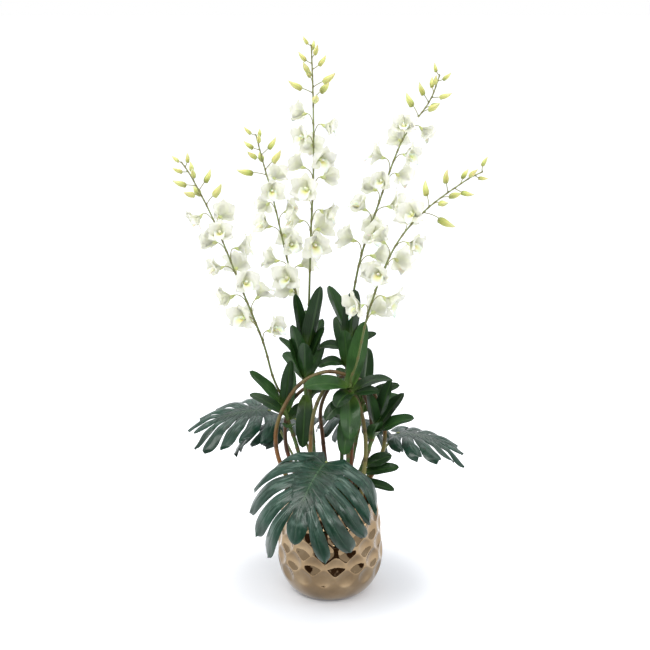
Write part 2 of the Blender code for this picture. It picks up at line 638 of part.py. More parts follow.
def blade_plan(leaf):
    # The flat blade: x along the midrib, y across. Lobes leave both sides of the midrib, joined along
    # their inner part and slit beyond it, fill most of the room between their neighbours and hook towards
    # the tip. Outline points end the blade, and inner points lie on veins
    length, half = leaf["length"], leaf["width"] / 2
    body = BODY_SHARE * length
    outline, inner = {}, {}
    outline["rib", 0] = (0.0, 0.0)
    for cut in range(1, LOBES + 1):
        inner["rib", cut] = (body * cut / LOBES, 0.0)
    for side in (-1, 1):
        outline["slit", side, 0] = (-0.24 * half, side * 0.18 * half)
        outline["slit", side, LOBES] = (body + 0.10 * length, side * 0.10 * half)
        for cut in range(1, LOBES):
            angle, reach = lobe_spread(cut / LOBES)
            reach *= SLIT * half
            outline["slit", side, cut] = (body * cut / LOBES + reach * math.cos(angle),
                                          side * reach * math.sin(angle))
        for lobe in range(LOBES):
            share = (lobe + 0.5) / LOBES
            angle, reach = lobe_spread(share)
            reach *= half * (1 + 0.06 * math.sin(2.3 * lobe + 1.7 * side))
            fan = lobe_spread(lobe / LOBES)[0] - lobe_spread((lobe + 1) / LOBES)[0]
            for mark, far, wide in (("inner", SLIT + 0.03, 0.0), ("middle", 0.65, 1.0), ("outer", 0.90, 0.80)):
                x = body * share + far * reach * math.cos(angle) + LOBE_HOOK * half * far ** 3
                y = far * reach * math.sin(angle)
                inner[mark, side, lobe] = (x, side * y)
                if wide:
                    room = body / LOBES * math.sin(angle) + far * reach * fan
                    spread = 0.5 * LOBE_FILL * wide * room
                    dx, dy = -spread * math.sin(angle), spread * math.cos(angle)
                    outline["low", mark, side, lobe] = (x + dx, side * (y + dy))
                    outline["high", mark, side, lobe] = (x - dx, side * (y - dy))
            far, forward = LOBE_TIP
            x = body * share + far * reach * math.cos(angle) + (LOBE_HOOK * far ** 3 + forward) * half
            outline["tip", side, lobe] = (x, side * far * reach * math.sin(angle))
        outline["end", side] = (0.82 * length, side * 0.16 * half)
    outline["end", 0] = (length, 0.0)
    inner["end"] = (0.78 * length, 0.0)
    return outline, inner


def blade_faces():
    # Triangles of the blade's front by the names of their corners, running the same way round
    faces = []
    for side in (-1, 1):
        half_faces = []
        for lobe in range(LOBES):
            rib, next_rib = ("rib", lobe), ("rib", lobe + 1)
            slit, next_slit = ("slit", side, lobe), ("slit", side, lobe + 1)
            inside, middle, outer = ((mark, side, lobe) for mark in ("inner", "middle", "outer"))
            low, low_out = (("low", mark, side, lobe) for mark in ("middle", "outer"))
            high, high_out = (("high", mark, side, lobe) for mark in ("middle", "outer"))
            tip = ("tip", side, lobe)
            half_faces += [(rib, next_rib, inside), (next_rib, next_slit, inside), (slit, rib, inside),
                           (next_slit, high, inside), (high, middle, inside), (high, high_out, middle),
                           (high_out, outer, middle), (high_out, tip, outer), (low, slit, inside),
                           (middle, low, inside), (low_out, low, middle), (outer, low_out, middle),
                           (tip, low_out, outer)]
        last, slit, edge = ("rib", LOBES), ("slit", side, LOBES), ("end", side)
        half_faces += [(last, "end", slit), (slit, "end", edge), (edge, "end", ("end", 0))]
        if side < 0:
            half_faces = [face[::-1] for face in half_faces]
        faces += half_faces
    return faces


def blade_point(leaf, place, lift):
    # A point of the flat blade carried onto its bent form: the midrib bends down towards the tip, and
    # both sides curve down about it
    along, across = place
    heading, roll = math.radians(leaf["heading"]), math.radians(leaf["roll"])
    rise, bend = math.radians(leaf["rise"]), math.radians(leaf["bend"])
    out = np.array((math.cos(heading), math.sin(heading), 0.0))
    side = np.array((-math.sin(heading), math.cos(heading), 0.0))
    up = np.array((0.0, 0.0, 1.0))
    half_turn = 0.5 * bend * max(along, 0.0) / leaf["length"]
    reach = along * (math.sin(half_turn) / half_turn if half_turn > 0 else 1.0)
    centre = np.array(leaf["route"][-1]) + reach * (math.cos(rise - half_turn) * out
                                                    + math.sin(rise - half_turn) * up)
    turn = rise - 2 * half_turn
    face = math.cos(turn) * up - math.sin(turn) * out
    side, face = (math.cos(roll) * side + math.sin(roll) * face,
                  math.cos(roll) * face - math.sin(roll) * side)
    radius = leaf["curve"] * leaf["width"]
    arc = across / radius
    return centre + side * radius * math.sin(arc) + face * (lift - radius * (1 - math.cos(arc)))


def blade_shell(leaf):
    # The front and the back share the outline, and stand apart along the veins and the midrib
    outline, inner = blade_plan(leaf)
    points = []
    numbers = {"front": {}, "back": {}}
    for name, place in outline.items():
        numbers["front"][name] = numbers["back"][name] = len(points)
        points.append(blade_point(leaf, place, 0.0))
    for name, place in inner.items():
        for layer, lift in (("front", BLADE_THICKNESS / 2), ("back", -BLADE_THICKNESS / 2)):
            numbers[layer][name] = len(points)
            points.append(blade_point(leaf, place, lift))
    faces = []
    for face in blade_faces():
        faces.append(tuple(numbers["front"][name] for name in face))
        faces.append(tuple(numbers["back"][name] for name in face[::-1]))
    return points, faces


def make_split_leaf(name, leaf, material):
    path = planted_path(leaf["route"], 6)
    path = np.vstack([path, blade_point(leaf, (0.006, 0.0), 0.0)])
    thing = new_object(name, *tube(path, [STALK_RADIUS] * len(path), STEM_SIDES))
    combine(thing, [blade_shell(leaf)], "UNION")
    finish(thing, material)


def main():
    clear_objects()
    holes = []
    for cane in CANES.values():
        holes.append(hole(cane["route"], CANE_RADIUS))
    for route in HOOPS.values():
        holes.append(hole(route, HOOP_FOOT_RADIUS))
        holes.append(hole(route[::-1], HOOP_FOOT_RADIUS))
    for leaf in SPLIT_LEAVES.values():
        holes.append(hole(leaf["route"], STALK_RADIUS))
    make_pot()
    make_moss(holes)
    petal = plain_material("petal_white", (0.86, 0.88, 0.78), 0.55)
    for name, spray in SPRAYS.items():
        make_spray(name, spray, petal)
    leaf_green = plain_material("leaf_green", (0.03, 0.11, 0.03), 0.38)
    for name, cane in CANES.items():
        make_cane(name, cane, leaf_green)
    bark = plain_material("stem_brown", (0.30, 0.15, 0.05), 0.5)
    for name, route in HOOPS.items():
        make_hoop(name, route, bark)
    blade_green = plain_material("blade_green", (0.045, 0.13, 0.09), 0.35)
    for name, leaf in SPLIT_LEAVES.items():
        make_split_leaf(name, leaf, blade_green)


main()
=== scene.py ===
import math
import random

import bmesh
import bpy
import numpy as np
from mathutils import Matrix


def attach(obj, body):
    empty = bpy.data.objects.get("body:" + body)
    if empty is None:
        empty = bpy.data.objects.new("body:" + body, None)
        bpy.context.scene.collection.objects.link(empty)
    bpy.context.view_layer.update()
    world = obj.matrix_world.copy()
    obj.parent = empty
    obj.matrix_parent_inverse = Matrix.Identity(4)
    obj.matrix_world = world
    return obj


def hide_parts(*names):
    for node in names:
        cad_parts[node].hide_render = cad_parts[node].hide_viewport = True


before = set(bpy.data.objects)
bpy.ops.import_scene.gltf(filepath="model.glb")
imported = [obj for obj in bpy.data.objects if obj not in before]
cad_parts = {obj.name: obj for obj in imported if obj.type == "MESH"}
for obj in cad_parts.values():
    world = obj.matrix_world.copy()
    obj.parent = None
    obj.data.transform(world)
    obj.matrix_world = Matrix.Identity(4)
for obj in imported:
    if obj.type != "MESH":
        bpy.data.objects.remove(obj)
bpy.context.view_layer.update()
print("frame loaded")

upward = np.array((0.0, 0.0, 1.0))
frontward = np.array((0.0, -1.0, 0.0))
turnStep = math.radians(137.5)   # golden angle between one flower and the next
phaseRange = 6.28   # waves start anywhere in a whole turn


def linked(name, data):
    # a new object of the data, in the scene
    thing = bpy.data.objects.new(name, data)
    bpy.context.scene.collection.objects.link(thing)
    return thing


# Arrays of points and directions

def unit(vectors):
    # each vector over its own length
    vectors = np.asarray(vectors, float)
    return vectors / np.linalg.norm(vectors, axis=-1, keepdims=True)


def dot(a, b):
    # dot product of each pair of vectors, kept as a column
    return (a * b).sum(-1, keepdims=True)


def polar(radius, turn, z=0.0):
    # points at a radius and a turn about the upright axis, and a height
    return np.stack(np.broadcast_arrays(radius * np.cos(turn), radius * np.sin(turn), z), -1)


def ease(low, high, value):
    # 0 below low, 1 above high, and 3x^2 - 2x^3 between; high below low turns it round
    share = np.clip((value - low) / (high - low), 0, 1)
    return share * share * (3 - 2 * share)


def smoothRoute(points, count, perSpan=24):
    # Catmull-Rom curve through the route's points, then read again at even steps of its length
    points = np.array(points, float)
    padded = np.vstack([2 * points[0] - points[1], points, 2 * points[-1] - points[-2]])
    t = np.linspace(0, 1, perSpan, endpoint=False)[:, None]
    a, b, c, d = (padded[k:len(padded) - 3 + k, None] for k in range(4))
    curve = 0.5 * (2 * b + (c - a) * t + (2 * a - 5 * b + 4 * c - d) * t ** 2
                   + (3 * b - a - 3 * c + d) * t ** 3)
    dense = np.vstack([curve.reshape(-1, 3), points[-1:]])
    reach = np.concatenate([[0], np.cumsum(np.linalg.norm(np.diff(dense, axis=0), axis=1))])
    even = np.linspace(0, reach[-1], count)
    return np.column_stack([np.interp(even, reach, dense[:, k]) for k in range(3)])


def tubeGrid(path, radii, sides, normal):
    # rings about a path: centre + radius (cos turn * across + sin turn * above), a point closing each end
    path = np.asarray(path, float)
    along = unit(np.gradient(path, axis=-2))
    across = unit(normal - along * dot(along, normal))
    above = np.cross(along, across)
    turn = 2 * math.pi * np.arange(sides)[:, None] / sides
    ring = across[..., None, :] * np.cos(turn) + above[..., None, :] * np.sin(turn)
    radii = np.broadcast_to(radii, path.shape[:-1])
    grid = path[..., None, :] + radii[..., None, None] * ring
    first, last = (np.repeat(path[..., k, None, None, :], sides, axis=-2) for k in (0, -1))
    return np.concatenate([first, grid, last], axis=-3)


def capped(values):
    # a value for each ring, with its first and last repeated for the two end points
    values = np.asarray(values, float)
    return np.concatenate([values[..., :1], values, values[..., -1:]], axis=-1)[..., None]


def bladeGrid(centre, side, face, half, height, thick, columns):
    # thin closed blade, a lens in section: at each station the front runs from edge to edge and the back
    # returns. Places across are sin(turn) from -1 to 1, and the thickness is thick sqrt(1 - across^2).
    # height(across) lifts the blade along its face, with a value for each station and place across
    across = np.sin(np.linspace(-0.5, 0.5, columns) * math.pi)
    lens = 0.5 * thick * np.sqrt(np.clip(1 - across ** 2, 0, 1))
    across = np.concatenate([across, across[-2:0:-1]])
    lens = np.concatenate([lens, -lens[-2:0:-1]])
    grid = (centre[..., None, :] + side[..., None, :] * (half[..., None] * across)[..., None]
            + face[..., None, :] * (height(across) + lens)[..., None])
    return grid, across


def hermite(start, startPull, end, endPull, t):
    # Hermite cubic from start to end, which leaves along startPull and arrives along endPull
    t = t[:, None]
    a, b, c, d = (v[..., None, :] for v in (start, startPull, end, endPull))
    return (a * (2 * t ** 3 - 3 * t ** 2 + 1) + b * (t ** 3 - 2 * t ** 2 + t)
            + c * (3 * t ** 2 - 2 * t ** 3) + d * (t ** 3 - t ** 2))


class Gather:
    # collects grids of points, each with its material and its marks, and makes one piece of them.
    # The marks are numbers for the materials: along and across the form, and own, one for each blade.
    # On a stem, across says how near a joint is
    markNames = ("along", "across", "own")
    seamReach = 2e-6   # points closer than this are one

    def __init__(self):
        self.points, self.quads, self.slots = [], [], []
        self.marks = {name: [] for name in self.markNames}
        self.total = 0

    def add(self, grid, slot=0, closed=True, **marks):
        # grid holds any number of sheets of rows by columns; closed joins the last column to the first
        rows, columns = grid.shape[-3:-1]
        sheets = grid.reshape(-1, rows, columns, 3)
        first = np.arange(rows - 1)[:, None] * columns
        here = np.arange(columns if closed else columns - 1)[None, :]
        after = (here + 1) % columns
        quads = np.stack([first + here, first + after, first + after + columns, first + here + columns], -1)
        starts = self.total + np.arange(len(sheets)) * rows * columns
        quads = (quads.reshape(1, -1, 4) + starts[:, None, None]).reshape(-1, 4)
        self.points.append(sheets.reshape(-1, 3))
        self.quads.append(quads)
        self.slots.append(np.full(len(quads), slot))
        for name in self.markNames:
            values = np.broadcast_to(marks.get(name, 0.0), grid.shape[:-1])
            self.marks[name].append(values.reshape(-1))
        self.total += sheets.shape[0] * rows * columns

    def piece(self, name, node, finishes, sharpAngle=55):
        # one mesh of all grids, smooth but for edges sharper than the angle, in place of the frame's node
        points, quads = np.concatenate(self.points), np.concatenate(self.quads)
        mesh = bpy.data.meshes.new(name)
        mesh.vertices.add(len(points))
        mesh.vertices.foreach_set("co", points.astype(np.float32).ravel())
        mesh.loops.add(quads.size)
        mesh.loops.foreach_set("vertex_index", quads.astype(np.int32).ravel())
        mesh.polygons.add(len(quads))
        mesh.polygons.foreach_set("loop_start", np.arange(len(quads), dtype=np.int32) * 4)
        mesh.polygons.foreach_set("material_index", np.concatenate(self.slots).astype(np.int32))
        mesh.update(calc_edges=True)
        for mark, values in self.marks.items():
            attribute = mesh.attributes.new(mark, "FLOAT", "POINT")
            attribute.data.foreach_set("value", np.concatenate(values).astype(np.float32))
        shape = bmesh.new()
        shape.from_mesh(mesh)
        bmesh.ops.remove_doubles(shape, verts=shape.verts, dist=self.seamReach)   # closes seams and ends
        shape.to_mesh(mesh)
        shape.free()
        mesh.shade_smooth()
        mesh.set_sharp_from_angle(angle=math.radians(sharpAngle))
        for finish in finishes:
            mesh.materials.append(finish)
        thing = linked(name, mesh)
        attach(thing, "root")
        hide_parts(node)


# Materials

class Wire:
    # a socket that can be worked with in expressions: each operator adds a Math node
    def __init__(self, nodes, socket):
        self.nodes, self.socket = nodes, socket

    def math(self, operation, first, second=0.0):
        return self.nodes.add("Math", {"operation": operation}, {0: first, 1: second})

    def __add__(self, other):
        return self.math("ADD", self, other)

    def __sub__(self, other):
        return self.math("SUBTRACT", self, other)

    def __rsub__(self, other):
        return self.math("SUBTRACT", other, self)

    def __mul__(self, other):
        return self.math("MULTIPLY", self, other)

    def __abs__(self):
        return self.math("ABSOLUTE", self)

    def sine(self):
        return self.math("SINE", self)

    __radd__ = __add__
    __rmul__ = __mul__


class NodeSet:
    # a node tree that add() puts any node into
    def __init__(self, tree):
        self.tree = tree

    def add(self, kind, settings=None, sockets=None, out=0):
        # kind is the node's type, settings are its own properties, sockets its values or links
        node = self.tree.nodes.new("ShaderNode" + kind)
        for key, value in (settings or {}).items():
            if key != "stops":
                setattr(node, key, value)
                continue
            ramp = node.color_ramp
            while len(ramp.elements) < len(value):
                ramp.elements.new(0.5)
            for element, (place, colour) in zip(ramp.elements, value):
                element.position = place
                element.color = (*colour, 1.0)
        for key, value in (sockets or {}).items():
            if isinstance(value, Wire):
                self.tree.links.new(value.socket, node.inputs[key])
            else:
                node.inputs[key].default_value = value
        return Wire(self, node.outputs[out])

    def noise(self, scale, detail=3.0, vector=None):
        # reads Object coordinates unless it is given others
        vector = vector or self.add("TexCoord", out=3)
        return self.add("TexNoise", None, {"Vector": vector, "Scale": scale, "Detail": detail})

    def between(self, value, low, high):
        # 0 below low and 1 above high, eased; high below low turns it round
        settings = {"interpolation_type": "SMOOTHSTEP"}
        if low < high:
            return self.add("MapRange", settings, {0: value, 1: low, 2: high})
        return 1 - self.add("MapRange", settings, {0: value, 1: high, 2: low})

    def ramp(self, value, stops):
        # colours by value; stops are pairs of place and colour
        return self.add("ValToRGB", {"stops": stops}, {0: value})

    def mix(self, share, first, second):
        # first where share is 0, second where it is 1
        first, second = (c if isinstance(c, Wire) else (*c, 1.0) for c in (first, second))
        return self.add("Mix", {"data_type": "RGBA"}, {0: share, 6: first, 7: second}, out=2)


class Finish(NodeSet):
    # one Principled material, with its constants set straight on the shader
    def __init__(self, name, **constants):
        self.material = bpy.data.materials.new(name)
        self.material.use_nodes = True
        super().__init__(self.material.node_tree)
        self.shader = self.tree.nodes["Principled BSDF"]
        for key, value in constants.items():
            self.shader.inputs[key.replace("_", " ")].default_value = value

    def feed(self, **wires):
        # links what changes over the surface, and hands the finished material on
        for key, wire in wires.items():
            self.tree.links.new(wire.socket, self.shader.inputs[key.replace("_", " ")])
        return self.material

    def mark(self, name):
        return self.add("Attribute", {"attribute_name": name}, out=2)

    def marks(self):
        return [self.mark(name) for name in Gather.markNames]

    def surface(self, colour, roughness, height, distance):
        # colour and roughness, and a bump of the height, which stands the distance high where it is 1
        normal = self.add("Bump", None, {"Height": height, "Distance": distance})
        return self.feed(Base_Color=colour, Roughness=roughness, Normal=normal)


# Colour ramps of the finishes, as pairs of place and colour
tones = {
    "glaze": [(0.30, (0.190, 0.128, 0.067)), (0.55, (0.262, 0.182, 0.101)), (0.75, (0.350, 0.258, 0.156))],
    "moss": [(0.30, (0.018, 0.014, 0.006)), (0.48, (0.060, 0.050, 0.016)), (0.62, (0.115, 0.095, 0.030)),
             (0.80, (0.20, 0.155, 0.070))],
    "chin": [(0.0, (0.20, 0.20, 0.075)), (0.45, (0.30, 0.33, 0.12)), (0.62, (0.46, 0.53, 0.17)),
             (0.85, (0.72, 0.79, 0.40)), (1.0, (0.82, 0.87, 0.58))],
    "bud": [(0.0, (0.17, 0.21, 0.045)), (0.22, (0.36, 0.42, 0.085)), (0.5, (0.60, 0.63, 0.18)),
            (0.85, (0.74, 0.76, 0.37)), (1.0, (0.72, 0.74, 0.44))],
    "stem": [(0.0, (0.085, 0.115, 0.028)), (0.35, (0.155, 0.190, 0.055)), (0.75, (0.220, 0.265, 0.090)),
             (1.0, (0.29, 0.33, 0.12))],
    "leaf": [(0.25, (0.006, 0.022, 0.004)), (0.50, (0.012, 0.043, 0.009)), (0.75, (0.036, 0.105, 0.022))],
    "cane": [(0.0, (0.030, 0.050, 0.018)), (0.4, (0.050, 0.100, 0.028)), (0.8, (0.105, 0.170, 0.045)),
             (1.0, (0.14, 0.20, 0.06))],
    "hoop": [(0.20, (0.050, 0.022, 0.009)), (0.38, (0.150, 0.048, 0.018)), (0.52, (0.215, 0.090, 0.024)),
             (0.62, (0.215, 0.170, 0.045)), (0.80, (0.17, 0.21, 0.070))],
    "splitLeaf": [(0.25, (0.004, 0.019, 0.009)), (0.48, (0.007, 0.036, 0.021)),
                  (0.72, (0.016, 0.064, 0.040))],
}


def glazeFinish():
    # lustre glaze: a soft mirror in rose bronze, with slow clouds of darker brown and a fine grain
    finish = Finish("bronzeGlaze", Metallic=1.0, Coat_Weight=0.35, Coat_Roughness=0.04)
    clouds = finish.noise(22.0, 4.0)
    fine = finish.noise(420.0, 2.0)
    colour = finish.ramp(clouds, tones["glaze"])
    return finish.surface(colour, 0.03 + clouds * 0.07, fine, 0.00006)


def mossFinish():
    # dry fibre, speckled from near black to straw, each strand in its own tone
    finish = Finish("mossFinish", Specular_IOR_Level=0.2)
    speckle = finish.noise(160.0, 5.0)
    own = finish.mark("own")
    colour = finish.ramp(speckle * 0.7 + own * 0.3, tones["moss"])
    return finish.surface(colour, 0.8 + speckle * 0.2, speckle, 0.0012)


def petalFinish():
    # ivory tepals, green at the foot, with fine veins running to the tip
    finish = Finish("petalFinish", Subsurface_Weight=0.60, Subsurface_Scale=0.014, Specular_IOR_Level=0.35)
    finish.shader.inputs["Subsurface Radius"].default_value = (1.0, 1.0, 0.7)
    along, across, own = finish.marks()
    foot = finish.between(along, 0.66, 0.04)
    vein = (across * 26.0 + finish.noise(90.0) * 1.2).sine() * 0.5 + 0.5
    tint = finish.mix(own, (0.90, 0.91, 0.72), (0.92, 0.92, 0.80))
    tint = finish.mix(vein * (1 - along) * 0.22, tint, (0.78, 0.86, 0.58))
    colour = finish.mix(foot * 0.60, tint, (0.84, 0.89, 0.52))
    return finish.surface(colour, 0.52 + vein * 0.1, vein, 0.00022)


def lipFinish():
    # the lip: ivory edge, yellow disc and an orange throat
    finish = Finish("lipFinish", Subsurface_Weight=0.25, Subsurface_Scale=0.008, Specular_IOR_Level=0.35)
    along, across, own = finish.marks()
    vein = (across * 30.0 + finish.noise(120.0) * 2.0).sine() * 0.5 + 0.5
    disc = finish.between(along, 0.80, 0.30) * finish.between(abs(across), 1.0, 0.35)
    throat = finish.between(along, 0.46, 0.16) * finish.between(abs(across), 0.8, 0.2)
    colour = finish.mix(disc * 0.8, (0.90, 0.92, 0.84), (0.89, 0.88, 0.45))
    colour = finish.mix(throat * 0.55, colour, (0.87, 0.70, 0.22))
    colour = finish.mix(vein * disc * 0.22, colour, (0.78, 0.76, 0.25))
    return finish.surface(colour, 0.5 + own * 0.08, vein, 0.00025)


def chinFinish():
    # chin and flower stalk: pale green where the flower joins, browner olive towards the stem
    finish = Finish("chinFinish", Subsurface_Weight=0.12, Subsurface_Scale=0.004)
    along = finish.mark("along")
    mottle = finish.noise(260.0)
    colour = finish.ramp(along, tones["chin"])
    colour = finish.mix(mottle * 0.25, colour, (0.34, 0.30, 0.12))
    return finish.surface(colour, 0.42 + mottle * 0.15, mottle, 0.0002)


def budFinish():
    # olive base, yellow-green body, paler tip, faint lines where the sepals meet
    finish = Finish("budFinish", Subsurface_Weight=0.15, Subsurface_Scale=0.005)
    along, across, own = finish.marks()
    body = finish.ramp(along + (finish.noise(140.0) - 0.5) * 0.22, tones["bud"])
    colour = finish.mix(own * 0.55, body, (0.80, 0.76, 0.30))
    seam = finish.between(abs((across * 3.0).sine()), 0.18, 0.0)
    colour = finish.mix(seam * 0.45, colour, (0.36, 0.40, 0.10))
    return finish.surface(colour, 0.40 + seam * 0.2, 1 - seam, 0.0003)


def stemFinish():
    # olive flower stem, darker and browner at the joints and towards the foot
    finish = Finish("stemFinish", Specular_IOR_Level=0.4)
    along, joint = finish.mark("along"), finish.mark("across")
    streak = finish.noise(180.0, 4.0)
    colour = finish.ramp(along + (streak - 0.5) * 0.2, tones["stem"])
    colour = finish.mix(joint * 0.7, colour, (0.15, 0.105, 0.040))
    return finish.surface(colour, 0.42 + streak * 0.2, streak, 0.0003)


def leafFinish():
    # deep green strap leaf: paler rib in the channel, lighter foot, fine lines along it
    finish = Finish("leafFinish", Coat_Weight=0.24, Coat_Roughness=0.14, Specular_IOR_Level=0.20)
    along, across, own = finish.marks()
    clouds = finish.noise(26.0, 4.0)
    lines = (across * 34.0 + clouds * 3.0).sine() * 0.5 + 0.5
    rib = finish.between(abs(across), 0.16, 0.0)
    foot = finish.between(along, 0.34, 0.0)
    colour = finish.ramp(clouds * 0.6 + own * 0.4, tones["leaf"])
    colour = finish.mix(lines * 0.22, colour, (0.022, 0.072, 0.020))
    colour = finish.mix(rib * 0.40, colour, (0.060, 0.140, 0.030))
    colour = finish.mix(foot * 0.60, colour, (0.115, 0.200, 0.030))
    height = lines * 0.4 + rib * -1.0 + clouds
    return finish.surface(colour, 0.30 + clouds * 0.22, height, 0.0005)


def caneFinish():
    # leafy cane: dark green at the foot and paler above, with brown scars at the joints
    finish = Finish("caneFinish", Specular_IOR_Level=0.4)
    along, joint = finish.mark("along"), finish.mark("across")
    streak = finish.noise(120.0, 4.0)
    colour = finish.ramp(along + (streak - 0.5) * 0.35, tones["cane"])
    colour = finish.mix(joint, colour, (0.135, 0.085, 0.035))
    return finish.surface(colour, 0.45 + streak * 0.2, streak, 0.0006)


def hoopFinish():
    # bent stem: drifts between red-brown, ochre and olive, darker over the crown and at the joints
    finish = Finish("hoopFinish", Coat_Weight=0.2, Coat_Roughness=0.3, Specular_IOR_Level=0.45)
    along, joint, own = finish.marks()
    drift = finish.noise(9.0, 2.0)
    streak = finish.noise(150.0, 4.0)
    colour = finish.ramp(drift * 0.9 + own * 0.3 - 0.1 + (streak - 0.5) * 0.2, tones["hoop"])
    crown = finish.between(abs(along - 0.5), 0.30, 0.12)
    colour = finish.mix(crown * 0.55, colour, (0.075, 0.075, 0.026))
    colour = finish.mix(joint * 0.75, colour, (0.060, 0.028, 0.012))
    height = streak + joint * -1.5
    return finish.surface(colour, 0.36 + streak * 0.2, height, 0.0006)


def splitLeafFinish():
    # blue-green blade with pale streaks of painted highlight along the lobes and painted shade in deep green
    # over the web near the midrib, pale veins along every lobe and finer ones between
    finish = Finish("splitLeafFinish", Coat_Weight=0.45, Coat_Roughness=0.18, Specular_IOR_Level=0.24)
    along, across, own = finish.marks()
    clouds = finish.noise(34.0, 4.0)
    # coordinates stretched along each lobe, so the noise makes streaks: they place the painted highlight and
    # vary the roughness
    sheenSpace = finish.add("CombineXYZ", None, {0: along * 5.0, 1: across * 2.2, 2: own * 40.0})
    sheenAndGloss = finish.noise(1.6, 4.0, sheenSpace)
    vein = finish.between(abs(across), 0.08, 0.0) * finish.between(along, 1.05, 0.45)
    ribs = (abs(across) * 7.0 - along * 26.0 + clouds * 2.0).sine() * 0.5 + 0.5
    tone = clouds * 0.8 + own * finish.between(along, 0.25, 0.55) * 0.2
    colour = finish.ramp(tone, tones["splitLeaf"])
    # painted shade: deep green over the web near the midrib, where the lobes join
    colour = finish.mix(finish.between(along, 0.20, 0.0) * 0.5, colour, (0.008, 0.046, 0.009))
    # painted highlight: pale streaks along the middle of each lobe, between the web and the tip
    paintedHighlight = finish.between(sheenAndGloss, 0.44, 0.66) * finish.between(along, 0.90, 0.45)
    paintedHighlight = paintedHighlight * finish.between(along, 0.10, 0.40) * finish.between(abs(across), 0.95, 0.35)
    colour = finish.mix(paintedHighlight * 0.42, colour, (0.20, 0.30, 0.25))
    colour = finish.mix(vein * 0.45, colour, (0.12, 0.22, 0.14))
    colour = finish.mix(finish.between(along, 0.020, 0.006) * 0.40, colour, (0.08, 0.17, 0.07))
    colour = finish.mix(ribs * 0.14, colour, (0.040, 0.105, 0.070))
    height = ribs * 0.7 - vein * 1.5 + clouds * 1.5
    return finish.surface(colour, 0.24 + sheenAndGloss * 0.22, height, 0.0009)


finishes = {"glaze": glazeFinish(), "moss": mossFinish(), "petal": petalFinish(), "lip": lipFinish(),
            "chin": chinFinish(), "bud": budFinish(), "stem": stemFinish(), "leaf": leafFinish(),
            "cane": caneFinish(), "hoop": hoopFinish(), "splitLeaf": splitLeafFinish()}
print("materials ready")


# Pot: hammered hollows in staggered rows on a round profile

pot = {"height": 0.197, "rim": 0.091, "belly": 0.103, "bellyZ": 0.072, "base": 0.060, "wall": 0.0085,
       "rimWall": 0.005, "floor": 0.012, "round": 15, "rows": 5, "lowZ": 0.044, "highZ": 0.187,
       "hollow": 0.0054, "crest": 10.0, "wide": 1.18, "tall": 0.63, "shifted": 0.20, "deeper": 0.30,
       "columns": 390, "smoothZ": 0.036, "smoothRings": 16, "dimpledZ": (0.038, 0.192), "dimpledRings": 104}


def potRadius(z):
    # superellipse up to the belly, then a power taper to the rim
    rise = (1 - (1 - np.clip(z / pot["bellyZ"], 0, 1)) ** 1.7) ** (1 / 1.7)
    low = pot["base"] + (pot["belly"] - pot["base"]) * rise
    fall = np.clip((z - pot["bellyZ"]) / (pot["height"] - pot["bellyZ"]), 0, 1) ** 1.6
    return np.where(z < pot["bellyZ"], low, pot["belly"] - (pot["belly"] - pot["rim"]) * fall)


def hollowDepth(turn, z):
    # each hollow is depth (1 - (distance / reach)^2) about its centre, and a soft maximum,
    # log(1 + sum of e^(crest bowl)) / crest, joins neighbours in a crest
    step = (pot["highZ"] - pot["lowZ"]) / pot["rows"]
    row = np.arange(pot["rows"])
    centreZ = pot["lowZ"] + step * (row + 0.5)
    spacing = 2 * math.pi / pot["round"]
    shift = np.where(row % 2 == 0, 0.0, 0.5) * spacing
    number = np.floor((turn[..., None] - shift) / spacing + 0.5)
    away = turn[..., None] - shift - number * spacing
    chance = np.sin((number % pot["round"]) * 12.9 + row * 78.2) * 43.7
    chance = chance - np.floor(chance)   # a number from 0 to 1 for each hollow
    wide = away / (0.5 * spacing) * pot["wide"] + pot["shifted"] * (chance - 0.5)
    tall = (z[..., None] - centreZ) / (step * pot["tall"]) + pot["shifted"] * (0.5 - chance)
    bowl = 1 + pot["deeper"] * (chance - 0.5) - wide ** 2 - tall ** 2
    soft = np.log(np.exp(pot["crest"] * bowl).sum(-1) + 1.0) / pot["crest"]
    return pot["hollow"] * soft


def makePot():
    # a profile of radius and height turned about the axis, with the hollows taken off its outer wall
    foot = np.array([(radius, 0.0) for radius in (0.0, 0.030, 0.054, pot["base"] - 0.001)])
    smoothZ = pot["smoothZ"] * (1 - np.cos(np.linspace(0.03, 0.5, pot["smoothRings"]) * math.pi))
    wallZ = np.concatenate([smoothZ, np.linspace(*pot["dimpledZ"], pot["dimpledRings"])])
    wall = np.column_stack([potRadius(wallZ), wallZ])
    rimTurn = np.linspace(0, math.pi, 9)
    rimHalf = pot["rimWall"] / 2
    rim = np.column_stack([pot["rim"] - rimHalf + rimHalf * np.cos(rimTurn),
                           pot["height"] - rimHalf + rimHalf * np.sin(rimTurn)])
    insideZ = np.array([0.188, 0.178, 0.165, 0.130, 0.090, 0.060, 0.036, 0.020, pot["floor"] + 0.004])
    inner = potRadius(insideZ) - np.where(insideZ > 0.177, pot["rimWall"], pot["wall"])
    inside = np.column_stack([inner, insideZ])
    floor = np.array([(inner[-1] - 0.006, pot["floor"]), (0.040, pot["floor"]), (0.0, pot["floor"])])
    profile = np.vstack([foot, wall, rim, inside, floor])
    turn = 2 * math.pi * np.arange(pot["columns"]) / pot["columns"]
    radius = np.repeat(profile[:, :1], pot["columns"], axis=1)
    height = np.repeat(profile[:, 1:], pot["columns"], axis=1)
    outer = slice(len(foot), len(foot) + len(wall))
    radius[outer] -= hollowDepth(np.broadcast_to(turn, radius.shape)[outer], height[outer])
    shape = Gather()
    shape.add(polar(radius, turn, height), along=height / pot["height"])
    shape.piece("hammered_pot", "pot", [finishes["glaze"]])


makePot()
print("pot made")


# Moss: a lumpy crown on a plug, with tufts of dry strands

moss = {"edgeZ": 0.170, "crown": 0.012, "lumps": 0.0022, "gap": 0.0008, "around": 120, "rings": 40,
        "tufts": 2600, "strand": (0.006, 0.016), "seed": 4}


